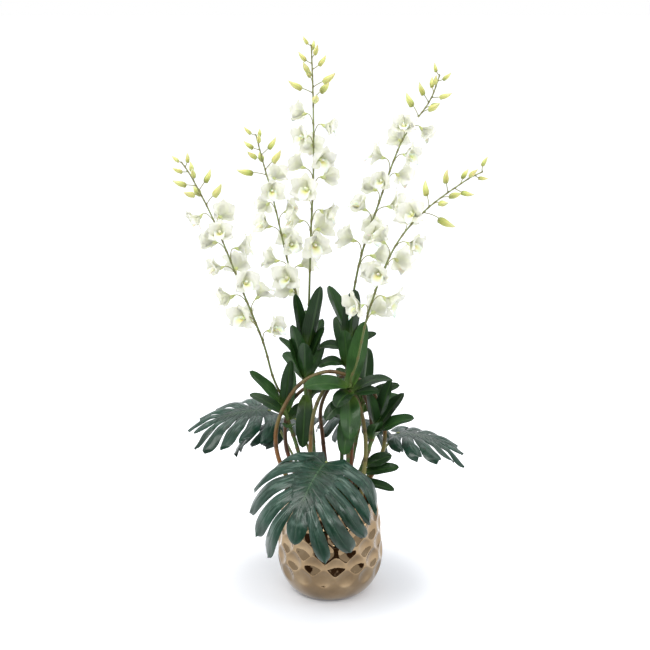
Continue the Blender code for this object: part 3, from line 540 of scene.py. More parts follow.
def mossHeight(x, y):
    # dome plus a few waves of different length
    edge = potRadius(np.array(moss["edgeZ"])) - pot["wall"]
    dome = moss["crown"] * (1 - (x ** 2 + y ** 2) / edge ** 2)
    waves = (np.sin(x * 160 + 1.3) * np.cos(y * 140) + 0.6 * np.sin(x * 310 - y * 270 + 2.0)
             + 0.4 * np.cos(x * 520 + y * 610))
    return moss["edgeZ"] + dome + moss["lumps"] * 0.6 * waves


def makeMoss():
    # rings that follow the pot's wall up and close over the crown. A strand is a thin tube along a cubic
    # that leaves the crown upwards and comes down again, and none reaches the pot
    shape = Gather()
    turn = 2 * math.pi * np.arange(moss["around"]) / moss["around"]
    reach = np.linspace(1, 0, moss["rings"])[:, None]
    edge = potRadius(np.array(moss["edgeZ"])) - pot["wall"] - moss["gap"]
    top = polar(edge * reach, turn)
    top[..., 2] = mossHeight(top[..., 0], top[..., 1])
    sideZ = np.array([pot["floor"] + 0.0005, pot["floor"] + 0.006, 0.036, 0.072, 0.130])[:, None]
    sideR = potRadius(sideZ) - pot["wall"] - moss["gap"]
    sideR[0] -= 0.006   # rounds the lower edge
    base, sides = polar(0.0, turn, sideZ[:1]), polar(sideR, turn, sideZ)
    shape.add(np.concatenate([base, sides, top]), own=0.3)
    draw = np.random.default_rng(moss["seed"])
    count = moss["tufts"]
    spread = np.sqrt(draw.uniform(0, 1, count)) * (edge - 0.004)
    root = polar(spread, draw.uniform(0, 2 * math.pi, count))
    root[:, 2] = mossHeight(root[:, 0], root[:, 1]) - 0.001
    out = polar(1.0, draw.uniform(0, 2 * math.pi, count))
    length = draw.uniform(*moss["strand"], count)[:, None]
    lift = draw.uniform(0.15, 1.1, count)[:, None]
    tip = root + length * (out * 0.8 + upward * lift * 0.25)
    rising, falling = length * (upward * lift + out * 0.4), length * (out - upward * 0.4)
    path = hermite(root, rising, tip, falling, np.linspace(0, 1, 4))
    near = np.hypot(path[..., 0], path[..., 1])
    path[..., :2] *= np.minimum(1, (edge - 0.001) / np.maximum(near, 1e-6))[..., None]
    radii = np.array([0.00045, 0.00055, 0.00045, 0.00015])
    shape.add(tubeGrid(path, radii, 3, np.array((0.3, 0.2, 0.93))), own=draw.uniform(0, 1, (count, 1, 1)))
    shape.piece("moss_crown", "potting_moss", [finishes["moss"]], 80)


makeMoss()
print("moss made")


# Planted stems: every route starts where its stem leaves the moss, and a straight foot goes on down

footZ = 0.132


def footOf(route):
    # the point at footZ below the route's start, along half the slant of its first stretch
    start = np.array(route[0], float)
    lean = unit(unit(np.array(route[1], float) - start) * (0.5, 0.5, 1.0))
    return start - lean * (start[2] - footZ) / lean[2]


def plantedPath(route, count):
    # even points from the foot to the route's end, with the corner at the moss rounded off
    line = np.vstack([footOf(route), smoothRoute(route, count)])
    return smoothRoute(line, count)


def jointBumps(along, places, width):
    # a bell curve e^-((along - place) / width)^2 at each joint
    return np.exp(-((along[:, None] - np.asarray(places)) / width) ** 2).max(-1)


# Strap leaves: a channelled blade that leans out of the cane and bends over

leafForm = {"channel": 0.42, "thick": 0.0014, "faceFront": 0.8, "sway": 0.35, "wave": 0.07, "tipDip": 0.10,
            "rib": 0.05, "rows": 26, "columns": 11, "seed": 30}


def strapLeaves(shape, roots, leaves, seed):
    # centre line: root + length / bend * ((cos lean - cos turn) out + (sin turn - sin lean) up), with turn
    # from lean to lean + bend;
    # half width: width / 2 * sin(pi (0.1 + 0.9 s)^1.15)^0.46, drawn in at the foot where it clasps the cane
    draw = np.random.default_rng(seed)
    out = polar(1.0, np.radians(leaves[:, 1:2]))
    lean, bend = (np.radians(leaves[:, k])[:, None, None] for k in (2, 3))
    length, width = leaves[:, 4][:, None, None], leaves[:, 5][:, None]
    bend = np.where(np.abs(bend) < 0.02, 0.02, bend)
    share = np.linspace(0, 1, leafForm["rows"])
    s = share[None, :, None]
    turn = lean + bend * s
    along = np.sin(turn) * out + np.cos(turn) * upward
    centre = (roots[:, None] + length / bend * ((np.cos(lean) - np.cos(turn)) * out
                                                + (np.sin(turn) - np.sin(lean)) * upward))
    # each blade turns one of its faces partly to the front
    showsBack = np.cos(lean + bend / 2) * out[..., 1:2] < -0.3
    front = frontward * leafForm["faceFront"] * np.where(showsBack, -1.0, 1.0) * np.minimum(1, 2 * s)
    face = np.sin(turn) * upward - np.cos(turn) * out + front
    face = unit(face - along * dot(face, along))
    count = len(leaves)
    sway = draw.uniform(-leafForm["sway"], leafForm["sway"], (count, 1, 1))
    side = unit(np.cross(along, face) + face * sway * s)
    face = np.cross(side, along)
    half = 0.5 * width * np.sin(math.pi * (0.1 + 0.9 * share) ** 1.15).clip(0) ** 0.46
    half = half * (1 - 0.35 * ease(0.16, 0.0, share)) + 0.0003
    phase = draw.uniform(0, phaseRange, (count, 1, 1))
    cup = (leafForm["channel"] * (1 - 0.45 * share) + 0.5 * ease(0.2, 0.0, share))[None, :, None]

    def height(across):
        # a channel along the middle, edges that wave a little, and a rib pressed in
        wave = leafForm["wave"] * np.sin(s * 11 + phase + np.sign(across) * 1.1) * across ** 2
        tipDip = -leafForm["tipDip"] * ease(0.75, 1.0, s) * across ** 2
        groove = -leafForm["rib"] * np.exp(-(across / 0.12) ** 2)
        return half[..., None] * (cup * np.abs(across) ** 1.35 + wave + tipDip + groove)

    grid, across = bladeGrid(centre, side, face, half, height, leafForm["thick"], leafForm["columns"])
    shape.add(grid, 1, along=share[:, None], across=across, own=draw.uniform(0, 1, (count, 1, 1)))


# Leafy canes: a route, and for each leaf its height on the cane, heading, lean from upright and bend to the
# tip in degrees, length and width

caneRadius = 0.0042
canes = {
    "cane_left": dict(
        route=[(-0.046, 0.004, 0.21), (-0.063, 0, 0.29), (-0.080, 0, 0.345), (-0.0915, 0, 0.3876)],
        leaves=[(0.370, 190, 36, 8, 0.100, 0.031), (0.364, 298, 6, 14, 0.110, 0.024),
                (0.350, 156, 50, 30, 0.088, 0.026), (0.358, 80, 30, 20, 0.090, 0.028),
                (0.342, 40, 40, 50, 0.056, 0.026), (0.330, 262, 40, 60, 0.046, 0.025)]),
    "cane_back_left": dict(
        route=[(-0.028, 0.034, 0.21), (-0.035, 0.040, 0.33), (-0.0445, 0.0485, 0.4466)],
        leaves=[(0.430, 55, 18, 20, 0.105, 0.030), (0.420, 192, 20, 30, 0.098, 0.028),
                (0.400, 130, 34, 50, 0.095, 0.030), (0.380, 20, 40, 55, 0.044, 0.024),
                (0.372, 82, 56, 60, 0.085, 0.028)]),
    "cane_centre": dict(
        route=[(-0.026, -0.002, 0.21), (-0.036, 0, 0.31), (-0.047, 0, 0.42), (-0.043, 0, 0.4866)],
        leaves=[(0.480, 318, 13, 2, 0.138, 0.035), (0.472, 168, 9, 0, 0.122, 0.028),
                (0.440, 216, 15, 0, 0.102, 0.030), (0.414, 186, 16, 2, 0.098, 0.028),
                (0.444, 352, 18, 8, 0.094, 0.030), (0.424, 270, 17, 10, 0.092, 0.030),
                (0.450, 90, 18, 12, 0.110, 0.029), (0.418, 42, 24, 20, 0.080, 0.028),
                (0.396, 258, 155, 15, 0.100, 0.030)]),
    "cane_back_right": dict(
        route=[(0.022, 0.006, 0.21), (0.024, 0.007, 0.31), (0.031, 0.012, 0.42), (0.0365, 0.021, 0.5116)],
        leaves=[(0.504, 210, 20, 4, 0.114, 0.033), (0.494, 290, 13, 4, 0.114, 0.033),
                (0.476, 56, 14, 6, 0.102, 0.029), (0.470, 178, 30, 100, 0.066, 0.022),
                (0.444, 200, 34, 95, 0.064, 0.022), (0.480, 8, 40, 40, 0.062, 0.019),
                (0.446, 260, 16, 12, 0.090, 0.030), (0.456, 112, 22, 30, 0.096, 0.029)]),
    "cane_right_front": dict(
        route=[(0.031, -0.016, 0.21), (0.036, -0.019, 0.31), (0.038, -0.027, 0.40), (0.039, -0.032, 0.4296)],
        leaves=[(0.414, 44, 14, 2, 0.132, 0.034), (0.406, 30, 52, 60, 0.098, 0.024),
                (0.402, 20, 66, 40, 0.058, 0.020), (0.416, 198, 58, 46, 0.092, 0.034),
                (0.410, 240, 80, 50, 0.056, 0.032), (0.394, 208, 96, 50, 0.062, 0.027),
                (0.400, 268, 112, 54, 0.088, 0.038), (0.370, 256, 128, 40, 0.084, 0.034)]),
    "cane_right": dict(
        route=[(0.050, -0.004, 0.21), (0.064, -0.004, 0.26), (0.083, -0.006, 0.315), (0.093, -0.008, 0.345)],
        leaves=[(0.334, 350, 12, 6, 0.098, 0.034), (0.326, 204, 6, 6, 0.078, 0.028),
                (0.316, 336, 44, 32, 0.094, 0.035), (0.326, 16, 32, 12, 0.090, 0.030),
                (0.306, 285, 26, 30, 0.072, 0.028), (0.250, 350, 56, 14, 0.064, 0.027),
                (0.236, 340, 66, 12, 0.082, 0.025), (0.222, 328, 84, 14, 0.080, 0.023)]),
    "cane_back": dict(
        route=[(0.036, 0.036, 0.21), (0.050, 0.050, 0.28), (0.062, 0.060, 0.345), (0.066, 0.064, 0.375)],
        leaves=[(0.364, 75, 16, 14, 0.104, 0.030), (0.356, 346, 40, 36, 0.086, 0.026),
                (0.350, 130, 34, 34, 0.100, 0.030), (0.336, 16, 50, 40, 0.088, 0.028),
                (0.320, 167, 50, 50, 0.056, 0.026)]),
}


def makeCane(name, cane, seed):
    # a tube that swells at its joints, with leaves rooted just inside it
    shape = Gather()
    path = plantedPath(cane["route"], 80)
    along = np.linspace(0, 1, len(path))
    joints = jointBumps(along, np.linspace(0.08, 0.94, 9), 0.012)
    radii = caneRadius * (0.90 + 0.14 * joints) * (1 - 0.2 * ease(0.9, 1.0, along))
    shape.add(tubeGrid(path, radii, 14, frontward), 0, along=capped(along), across=capped(joints))
    leaves = np.array(cane["leaves"])
    roots = np.column_stack([np.interp(leaves[:, 0], path[:, 2], path[:, k]) for k in range(3)])
    roots += polar(0.3 * caneRadius, np.radians(leaves[:, 1]))
    strapLeaves(shape, roots, leaves, seed)
    shape.piece(name + "_leaves", name, [finishes["cane"], finishes["leaf"]])


for number, (name, cane) in enumerate(canes.items()):
    makeCane(name, cane, leafForm["seed"] + number)
print("canes made")


# Hoops of bent stem, both ends in the moss. Own sets where each hoop starts among its colours

hoopForm = {"foot": 0.0053, "top": 0.0036, "joints": 11, "rings": 190, "sides": 14,
            "own": (0.55, 0.85, 0.25, 0.1)}
hoops = {
    "hoop_outer": [(-0.070, -0.020, 0.21), (-0.100, -0.014, 0.28), (-0.099, -0.012, 0.345),
                   (-0.062, -0.026, 0.420), (-0.010, -0.020, 0.448), (0.037, -0.009, 0.436),
                   (0.076, 0.010, 0.408), (0.101, 0.022, 0.345), (0.104, 0.024, 0.28), (0.074, 0.018, 0.21)],
    "hoop_inner": [(-0.028, -0.036, 0.21), (-0.037, -0.036, 0.29), (-0.030, -0.034, 0.372),
                   (-0.004, -0.022, 0.420), (0.034, -0.009, 0.414), (0.058, -0.016, 0.372),
                   (0.068, -0.028, 0.30), (0.060, -0.032, 0.21)],
    "hoop_back": [(-0.062, 0.024, 0.21), (-0.086, 0.026, 0.29), (-0.076, 0.024, 0.370),
                  (-0.030, 0.020, 0.412), (0.022, 0.034, 0.404), (0.046, 0.032, 0.350),
                  (0.042, 0.030, 0.28), (0.040, 0.016, 0.21)],
    "hoop_rear": [(-0.006, 0.058, 0.21), (-0.014, 0.072, 0.28), (-0.018, 0.072, 0.345),
                  (0.004, 0.062, 0.398), (0.034, 0.048, 0.418), (0.064, 0.034, 0.388),
                  (0.080, 0.036, 0.330), (0.076, 0.042, 0.27), (0.053, 0.041, 0.21)],
}


def makeHoop(name, route, own):
    # a tube through both feet: its radius grows from the top to the feet as |2 along - 1|^1.5
    line = np.vstack([footOf(route), smoothRoute(route, 40), footOf(route[::-1])])
    path = smoothRoute(line, hoopForm["rings"])
    along = np.linspace(0, 1, len(path))
    joints = jointBumps(along, np.linspace(0.05, 0.95, hoopForm["joints"]), 0.006)
    radii = hoopForm["top"] + (hoopForm["foot"] - hoopForm["top"]) * np.abs(2 * along - 1) ** 1.5
    radii = radii * (0.97 + 0.10 * joints)
    shape = Gather()
    shape.add(tubeGrid(path, radii, hoopForm["sides"], np.array((0.1, 1.0, 0.0))),
              along=capped(along), across=capped(joints), own=own)
    shape.piece(name + "_stem", name, [finishes["hoop"]])


for own, (name, route) in zip(hoopForm["own"], hoops.items()):
    makeHoop(name, route, own)
print("hoops made")


# Split leaves: lobes run from the midrib, joined along their inner part and slit beyond it. A leaf has its
# stalk's route, heading, rise, bend and roll in degrees, length, width and the radius of its curve in widths

bladeForm = {"lobes": 5, "thick": 0.0013, "stalk": 0.0027, "body": 0.55, "slit": 0.30, "fill": 0.90,
             "hook": 0.30, "tip": (1.06, 0.05), "arch": 0.30, "groove": 0.0007, "droop": 0.10, "twist": 0.30,
             "wave": 0.0011, "webRows": 8, "freeRows": 26, "columns": 15, "seed": 50}
splitLeaves = {
    "split_leaf_front": dict(
        route=[(-0.004, -0.048, 0.21), (-0.008, -0.064, 0.258), (-0.006, -0.096, 0.298)],
        heading=241, rise=-8, bend=74, roll=-10, length=0.180, width=0.250, curve=0.60),
    "split_leaf_left": dict(
        route=[(-0.046, 0.024, 0.21), (-0.080, 0.050, 0.27), (-0.118, 0.072, 0.340)],
        heading=185, rise=5, bend=42, roll=-6, length=0.160, width=0.178, curve=1.5),
    "split_leaf_right": dict(
        route=[(0.070, 0.036, 0.21), (0.100, 0.048, 0.26), (0.132, 0.053, 0.300)],
        heading=350, rise=2, bend=36, roll=-3, length=0.134, width=0.148, curve=1.8),
    "split_leaf_rear": dict(
        route=[(0.018, 0.062, 0.21), (0.026, 0.086, 0.27), (0.032, 0.114, 0.312)],
        heading=65, rise=-8, bend=60, roll=0, length=0.168, width=0.170, curve=0.8),
    "split_leaf_back_left": dict(
        route=[(-0.030, 0.056, 0.21), (-0.048, 0.090, 0.27), (-0.068, 0.122, 0.304)],
        heading=141, rise=-4, bend=54, roll=0, length=0.165, width=0.170, curve=0.8),
}


def bladePoint(leaf, flat, lift):
    # the flat blade carried onto its bent form: the midrib is an arc that bends down to the tip, and places
    # across it lie on an arc of the curve's radius, so both sides curve down. Lift is along the face
    along, across = flat[..., 0], flat[..., 1]
    heading, roll, rise, bend = (math.radians(leaf[key]) for key in ("heading", "roll", "rise", "bend"))
    out = np.array((math.cos(heading), math.sin(heading), 0.0))
    level = np.array((-math.sin(heading), math.cos(heading), 0.0))
    halfTurn = np.maximum(0.5 * bend * np.maximum(along, 0.0) / leaf["length"], 1e-6)[..., None]
    reach = along[..., None] * np.sin(halfTurn) / halfTurn
    chord = np.cos(rise - halfTurn) * out + np.sin(rise - halfTurn) * upward
    centre = np.array(leaf["route"][-1]) + reach * chord
    turn = rise - 2 * halfTurn
    face = np.cos(turn) * upward - np.sin(turn) * out
    side = math.cos(roll) * level + math.sin(roll) * face
    face = math.cos(roll) * face - math.sin(roll) * level
    radius = leaf["curve"] * leaf["width"]
    arc = across[..., None] / radius
    return (centre + side * radius * np.sin(arc)
            + face * (lift[..., None] - radius * (1 - np.cos(arc))))


def lobeSpread(share):
    # a lobe's angle from the midrib and reach in half widths, from the heart-shaped foot (0) to the tip (1)
    return math.radians(120 - 92 * share ** 0.9), 0.95 + 0.20 * math.sin(math.pi * share) - 0.28 * share


def slitPoint(leaf, side, cut):
    # where a slit starts on the flat blade: at a share of the lobes' reach. The first is the notch at the
    # foot, and the last lies beside the end lobe
    length, half = leaf["length"], leaf["width"] / 2
    body = bladeForm["body"] * length
    if cut == 0:
        return np.array((-0.24 * half, side * 0.18 * half))
    if cut == bladeForm["lobes"]:
        return np.array((body + 0.10 * length, side * 0.10 * half))
    angle, reach = lobeSpread(cut / bladeForm["lobes"])
    reach *= bladeForm["slit"] * half
    rib = body * cut / bladeForm["lobes"]
    return np.array((rib + reach * math.cos(angle), side * reach * math.sin(angle)))


def bladeThickness(edge):
    # full in the middle and a point at the edge, as sqrt(1 - edge)
    return bladeForm["thick"] * np.sqrt(np.clip(1 - edge, 0, 1))


def veinGroove(across, run):
    # pressed in along the lobe's middle
    return -bladeForm["groove"] * np.exp(-(across / 0.09) ** 2) * ease(0.0, 0.15, run)


def addPatch(shape, leaf, flat, lift, thick, turned, walls, **marks):
    # front and back of one patch, and thin walls along its free edges: (column, first row) for each
    marks = {key: np.broadcast_to(value, flat.shape[:2]) for key, value in marks.items()}
    if turned:
        flat, lift, thick = flat[:, ::-1], lift[:, ::-1], thick[:, ::-1]
        marks = {key: value[:, ::-1] for key, value in marks.items()}
        walls = [(-1 - column, row) for column, row in walls]
    front = bladePoint(leaf, flat, lift + thick / 2)
    back = bladePoint(leaf, flat, lift - thick / 2)
    shape.add(front, 1, False, **marks)
    shape.add(back[:, ::-1], 1, False, **{key: value[:, ::-1] for key, value in marks.items()})
    for column, row in walls:
        pair = (back, front) if column == 0 else (front, back)
        edge = np.stack([layer[row:, column] for layer in pair], axis=1)
        shape.add(edge, 1, False, **{key: value[row:, column, None] for key, value in marks.items()})


def addLobe(shape, leaf, side, lobe, draw):
    # one lobe as a grid: u runs out through the web from the midrib, w along the free part to the tip, and v
    # from the lobe's low side (-1) to its high side (1)
    half = leaf["width"] / 2
    lobes, body = bladeForm["lobes"], bladeForm["body"] * leaf["length"]
    v = np.linspace(-1, 1, bladeForm["columns"])
    u = np.linspace(0, 1, bladeForm["webRows"])[:, None]
    w = (np.linspace(0, 1, bladeForm["freeRows"])[1:, None]) ** 0.9
    ribLow, ribHigh = (np.array((body * cut / lobes, 0.0)) for cut in (lobe, lobe + 1))
    slitLow, slitHigh = (slitPoint(leaf, side, cut) for cut in (lobe, lobe + 1))
    share = (lobe + 0.5) / lobes
    angle, reach = lobeSpread(share)
    fan = lobeSpread(lobe / lobes)[0] - lobeSpread((lobe + 1) / lobes)[0]
    reach *= half * (1 + 0.06 * math.sin(2.3 * lobe + 1.7 * side))
    ray = np.array((math.cos(angle), side * math.sin(angle)))
    square = np.array((-math.sin(angle), side * math.cos(angle)))
    # the axis hooks towards the leaf's tip; the lobe fills most of the room to its neighbours at each place,
    # rounds off on its outer side and ends in a blunt point on its inner side
    farTip, forward = bladeForm["tip"]
    far = bladeForm["slit"] + (farTip - bladeForm["slit"]) * w
    axis = (np.array((body * share, 0.0)) + far * reach * ray
            + np.array((half, 0.0)) * (bladeForm["hook"] * far ** 3 + forward * w ** 4))
    room = 0.5 * bladeForm["fill"] * (body / lobes * math.sin(angle) + far * reach * fan)
    free = ease(0.0, 0.34, w)
    middle = (slitLow + slitHigh) / 2
    axis = middle * (1 - free) + axis * free
    low = (slitLow - middle) * (1 - free) + square * room * free * (1 - w ** 12) ** 0.5
    high = (slitHigh - middle) * (1 - free) - square * room * free * (1 - w ** 7) ** 0.6
    lowEdge, highEdge = ribLow + (slitLow - ribLow) * u, ribHigh + (slitHigh - ribHigh) * u
    web = lowEdge[:, None] + (highEdge - lowEdge)[:, None] * (v[:, None] + 1) / 2
    lobePart = (axis[:, None] + low[:, None] * np.maximum(-v, 0)[:, None]
                + high[:, None] * np.maximum(v, 0)[:, None])
    flat = np.concatenate([web, lobePart])
    run = np.concatenate([0.3 * u, 0.3 + 0.7 * w])
    across = np.broadcast_to(v, flat.shape[:2])
    edge = across ** 2 * np.concatenate([0 * u, ease(0.0, 0.25, w)])
    if lobe == 0:
        edge = np.maximum(edge, np.clip(-across, 0, 1) ** 2)
    wide = np.concatenate([0 * u + 1, room / room.max()]) * room.max()
    arch = bladeForm["arch"] * wide * (1 - np.abs(across) ** 1.7) * ease(0.28, 0.60, run)
    droop = -bladeForm["droop"] * half * draw.uniform(0.3, 1.5) * ease(0.50, 1.0, run) ** 2
    twist = draw.uniform(-bladeForm["twist"], bladeForm["twist"]) * wide * across * ease(0.4, 1.0, run)
    wave = np.sin(run * 15 + draw.uniform(0, 6) + np.sign(across)) * across ** 2 * ease(0.35, 0.55, run)
    lift = arch + veinGroove(across, run) + droop + twist + bladeForm["wave"] * wave
    firstRow = 0 if lobe == 0 else len(u) - 1
    addPatch(shape, leaf, flat, lift, bladeThickness(edge), side < 0, [(0, firstRow), (-1, len(u) - 1)],
             along=run, across=across, own=draw.uniform(0, 1))


def addEndLobe(shape, leaf, side):
    # half of the end lobe: v runs from the midrib to its edge, and the edge swells, then closes at the tip
    length, half = leaf["length"], leaf["width"] / 2
    v = np.linspace(0, 1, 9)
    u = np.linspace(0, 1, 5)[:, None]
    w = np.linspace(0, 1, bladeForm["freeRows"])[1:, None]
    ribEnd = bladeForm["body"] * length
    slitEnd = slitPoint(leaf, side, bladeForm["lobes"])
    inner = np.concatenate([ribEnd + (slitEnd[0] - ribEnd) * u, slitEnd[0] + (length - slitEnd[0]) * w])
    swell = slitEnd[1] + side * (0.17 * half - abs(slitEnd[1])) * ease(0.0, 0.5, w)
    swell = swell * (1 - w ** 3.4) ** 0.62
    spread = np.concatenate([slitEnd[1] * u, swell])
    flat = np.stack([inner + 0 * v, spread * v], -1)
    across = np.broadcast_to(v, flat.shape[:2])
    run = np.concatenate([0.3 * u, 0.3 + 0.7 * w])
    edge = across ** 2 * np.concatenate([0 * u, ease(0.0, 0.25, w)])
    lift = 0.20 * np.abs(spread) * (1 - across ** 1.7) * ease(0.1, 0.4, run) + veinGroove(across, run)
    addPatch(shape, leaf, flat, lift * ease(0.0, 0.3, run), bladeThickness(edge), side > 0,
             [(-1, len(u) - 1)], along=run, across=across, own=0.5)


def makeSplitLeaf(name, leaf, seed):
    # lobes on both sides, the end lobe's halves, and a stalk that runs on a little way under the midrib
    draw = np.random.default_rng(seed)
    shape = Gather()
    for side in (-1, 1):
        for lobe in range(bladeForm["lobes"]):
            addLobe(shape, leaf, side, lobe, draw)
        addEndLobe(shape, leaf, side)
    joinPoint = bladePoint(leaf, np.array((0.004, 0.0)), np.array(0.0))
    path = smoothRoute(np.vstack([plantedPath(leaf["route"], 30), joinPoint]), 60)
    along = np.linspace(0, 1, len(path))
    radii = bladeForm["stalk"] * (1.05 - 0.25 * along)
    shape.add(tubeGrid(path, radii, 12, unit(np.cross(path[-1] - path[0], upward))), 0,
              along=capped(0.4 + 0.6 * along), across=0.0)
    shape.piece(name + "_blade", name, [finishes["stem"], finishes["splitLeaf"]], 70)


for number, (name, leaf) in enumerate(splitLeaves.items()):
    makeSplitLeaf(name, leaf, bladeForm["seed"] + number)
print("split leaves made")


# Flower sprays: route, cane, blooms between two shares of the stem, buds above them, and the first one's turn

sprays = {
    "spray_left": dict(
        cane="cane_left",
        route=[(-0.108, -0.02, 0.442), (-0.125, -0.03, 0.512), (-0.163, -0.04, 0.618),
               (-0.206, -0.05, 0.736), (-0.243, -0.05, 0.814), (-0.263, -0.05, 0.846)],
        blooms=13, first=0.26, last=0.76, buds=10, phase=70, seed=3),
    "spray_back_left": dict(
        cane="cane_back_left",
        route=[(-0.053, 0.06, 0.53), (-0.08, 0.08, 0.634), (-0.106, 0.10, 0.746),
               (-0.128, 0.11, 0.828), (-0.140, 0.115, 0.875)],
        blooms=11, first=0.26, last=0.76, buds=9, phase=200, seed=5),
    "spray_centre": dict(
        cane="cane_centre",
        route=[(-0.039, 0, 0.58), (-0.035, 0, 0.708), (-0.030, 0, 0.821),
               (-0.030, 0, 0.945), (-0.033, 0, 1.046)],
        blooms=13, first=0.33, last=0.75, buds=11, phase=20, seed=7),
    "spray_back_right": dict(
        cane="cane_back_right",
        route=[(0.045, 0.035, 0.591), (0.061, 0.045, 0.665), (0.089, 0.055, 0.748),
               (0.132, 0.06, 0.867), (0.182, 0.07, 0.939), (0.201, 0.07, 0.989)],
        blooms=14, first=0.25, last=0.77, buds=9, phase=110, seed=11),
    "spray_right": dict(
        cane="cane_right_front",
        route=[(0.051, -0.04, 0.477), (0.072, -0.06, 0.581), (0.113, -0.08, 0.695),
               (0.165, -0.09, 0.764), (0.232, -0.10, 0.818), (0.265, -0.10, 0.836)],
        blooms=10, first=0.24, last=0.68, buds=10, phase=160, seed=13),
}
bloom = {"radius": 0.0295, "depth": 0.024, "pedicel": 0.025, "knee": (0.26, 0.62), "end": (0.84, 0.78),
         "chin": 0.0055, "chinRadius": 0.0040, "stalk": 0.00085, "petalHalf": 0.0142, "sepalHalf": 0.0112,
         "lipHalf": 0.0096, "thick": 0.0007, "rows": 13, "columns": 9}
bud = {"start": 0.06, "length": 0.030, "radius": 0.0058, "stalk": 0.018, "stalkRadius": 0.0008,
       "spur": 0.0022, "rings": 18, "sides": 14}
stem = {"foot": 0.0024, "tip": 0.0011, "gap": 0.0005, "rings": 150, "sides": 12}
bract = {"length": 0.0065, "half": 0.0021, "thick": 0.0004, "rows": 7, "columns": 5}


def sprayPath(spray, count):
    # the stem starts in line with its cane, a hair clear of the cane's top
    cane = smoothRoute(canes[spray["cane"]]["route"], 6)
    lean = unit(cane[-1] - cane[-2])
    start = cane[-1] + lean * stem["gap"]
    return np.vstack([start, smoothRoute([cane[-1] + lean * 0.012] + spray["route"], count - 1)])


def flowerFrames(spray, path, fractions, first=0, jitter=0.0):
    # for a flower at each fraction of the stem: its place, forward along the stem and out of it. Each stands
    # a golden angle on from the one before, and first is the number of the first
    along = unit(np.gradient(path, axis=0))
    where = fractions * (len(path) - 1)
    index = np.minimum(where.astype(int), len(path) - 2)
    blend = (where - index)[:, None]
    place = path[index] * (1 - blend) + path[index + 1] * blend
    forward = unit(along[index] * (1 - blend) + along[index + 1] * blend)
    front = unit(frontward - forward * (forward @ frontward)[:, None])
    turns = (first + np.arange(len(fractions))) * turnStep
    turn = (math.radians(spray["phase"]) + turns + np.radians(jitter))[:, None]
    return place, forward, np.cos(turn) * front + np.sin(turn) * np.cross(forward, front)


def drawRows(seed, count, *spans):
    # a row for each flower, with a number drawn from each span
    draw = random.Random(seed)
    return np.array([[draw.uniform(*span) for span in spans] for _ in range(count)])


def addTepals(shape, base, axes, size, opening, form, draw):
    # one tepal of every bloom at once. Its centre line is a Bezier cubic in reach and depth from the axis,
    # its half width is half * sin(pi (0.07 + 0.93 t)^lean)^blunt, and it is cupped at the foot and turns back
    # at the tip
    side, up, facing = axes
    count = len(base)
    t = np.linspace(0, 1, bloom["rows"])
    basis = np.stack([(1 - t) ** 3, 3 * t * (1 - t) ** 2, 3 * t ** 2 * (1 - t), t ** 3])
    slope = np.gradient(basis, t, axis=1)
    reachPoints, depthPoints = np.array(form["curve"]).T
    spin = np.radians(form["angle"] + draw.uniform(-11, 11, count))[:, None, None]
    outward = np.cos(spin) * side[:, None] + np.sin(spin) * up[:, None]
    level = np.sin(spin) * side[:, None] - np.cos(spin) * up[:, None]
    stretch = opening[:, None, None] * draw.uniform(0.86, 1.08, (count, 1, 1))
    reach, depth = ((points @ basis)[None, :, None] for points in (reachPoints, depthPoints))
    away, ahead = ((points @ slope)[None, :, None] for points in (reachPoints, depthPoints))
    scale = size[:, None, None]
    centre = base[:, None] + scale * (reach * stretch * outward + depth * facing[:, None])
    along = unit(away * stretch * outward + ahead * facing[:, None])
    twist = draw.uniform(-0.55, 0.55, (count, 1, 1)) * t[None, :, None] ** 1.5
    level = np.broadcast_to(level, along.shape)
    face = np.cross(level, along)
    level = unit(level + face * twist)
    face = np.cross(level, along)
    half = form["half"] * np.sin(math.pi * (0.07 + 0.93 * t) ** form["lean"]).clip(0) ** form["blunt"]
    half = size[:, None] * half * draw.uniform(0.95, 1.05, (count, 1)) + 0.0001
    phase = draw.uniform(0, phaseRange, (count, 1, 1))
    cup = (form["cup"] * (1 - ease(0.2, 0.85, t)) - 0.12 * ease(0.6, 1.0, t))[None, :, None]

    def height(across):
        # a cup, and a ruffle that grows towards the edge
        ruffle = form["ruffle"] * np.sin(t[None, :, None] * 12 + phase + 1.5 * np.sign(across)) * across ** 2
        return half[..., None] * (cup * across ** 2 + ruffle * ease(0.25, 0.6, t)[None, :, None])

    grid, across = bladeGrid(centre, level, face, half, height, bloom["thick"], bloom["columns"])
    own = draw.uniform(0, 1, (count, 1, 1))
    shape.add(grid, form["slot"], along=t[:, None], across=across, own=own)


def tepalForms():
    # three sepals, two petals between them, and the lip below: turn round the axis, reach and depth points
    radius, depth = bloom["radius"], bloom["depth"]
    sepal = dict(slot=0, half=bloom["sepalHalf"], lean=0.92, blunt=1.05, cup=0.28, ruffle=0.20,
                 curve=[(0.0022, 0.001), (0.0105, 0.0090), (0.0205, 0.0190), (radius, depth * 0.66)])
    petal = dict(slot=0, half=bloom["petalHalf"], lean=1.00, blunt=0.88, cup=0.22, ruffle=0.30,
                 curve=[(0.0018, 0.003), (0.0085, 0.0135), (0.0175, 0.0240), (radius * 0.98, depth * 0.90)])
    lip = dict(slot=1, half=bloom["lipHalf"], lean=1.05, blunt=0.70, cup=0.95, ruffle=0.22,
               curve=[(0.0026, 0.003), (0.0065, 0.0150), (0.0085, 0.0250), (radius * 0.70, depth * 1.20)])
    turns = [(90, sepal), (210, sepal), (330, sepal), (30, petal), (150, petal), (270, lip)]
    return [dict(form, angle=angle) for angle, form in turns]


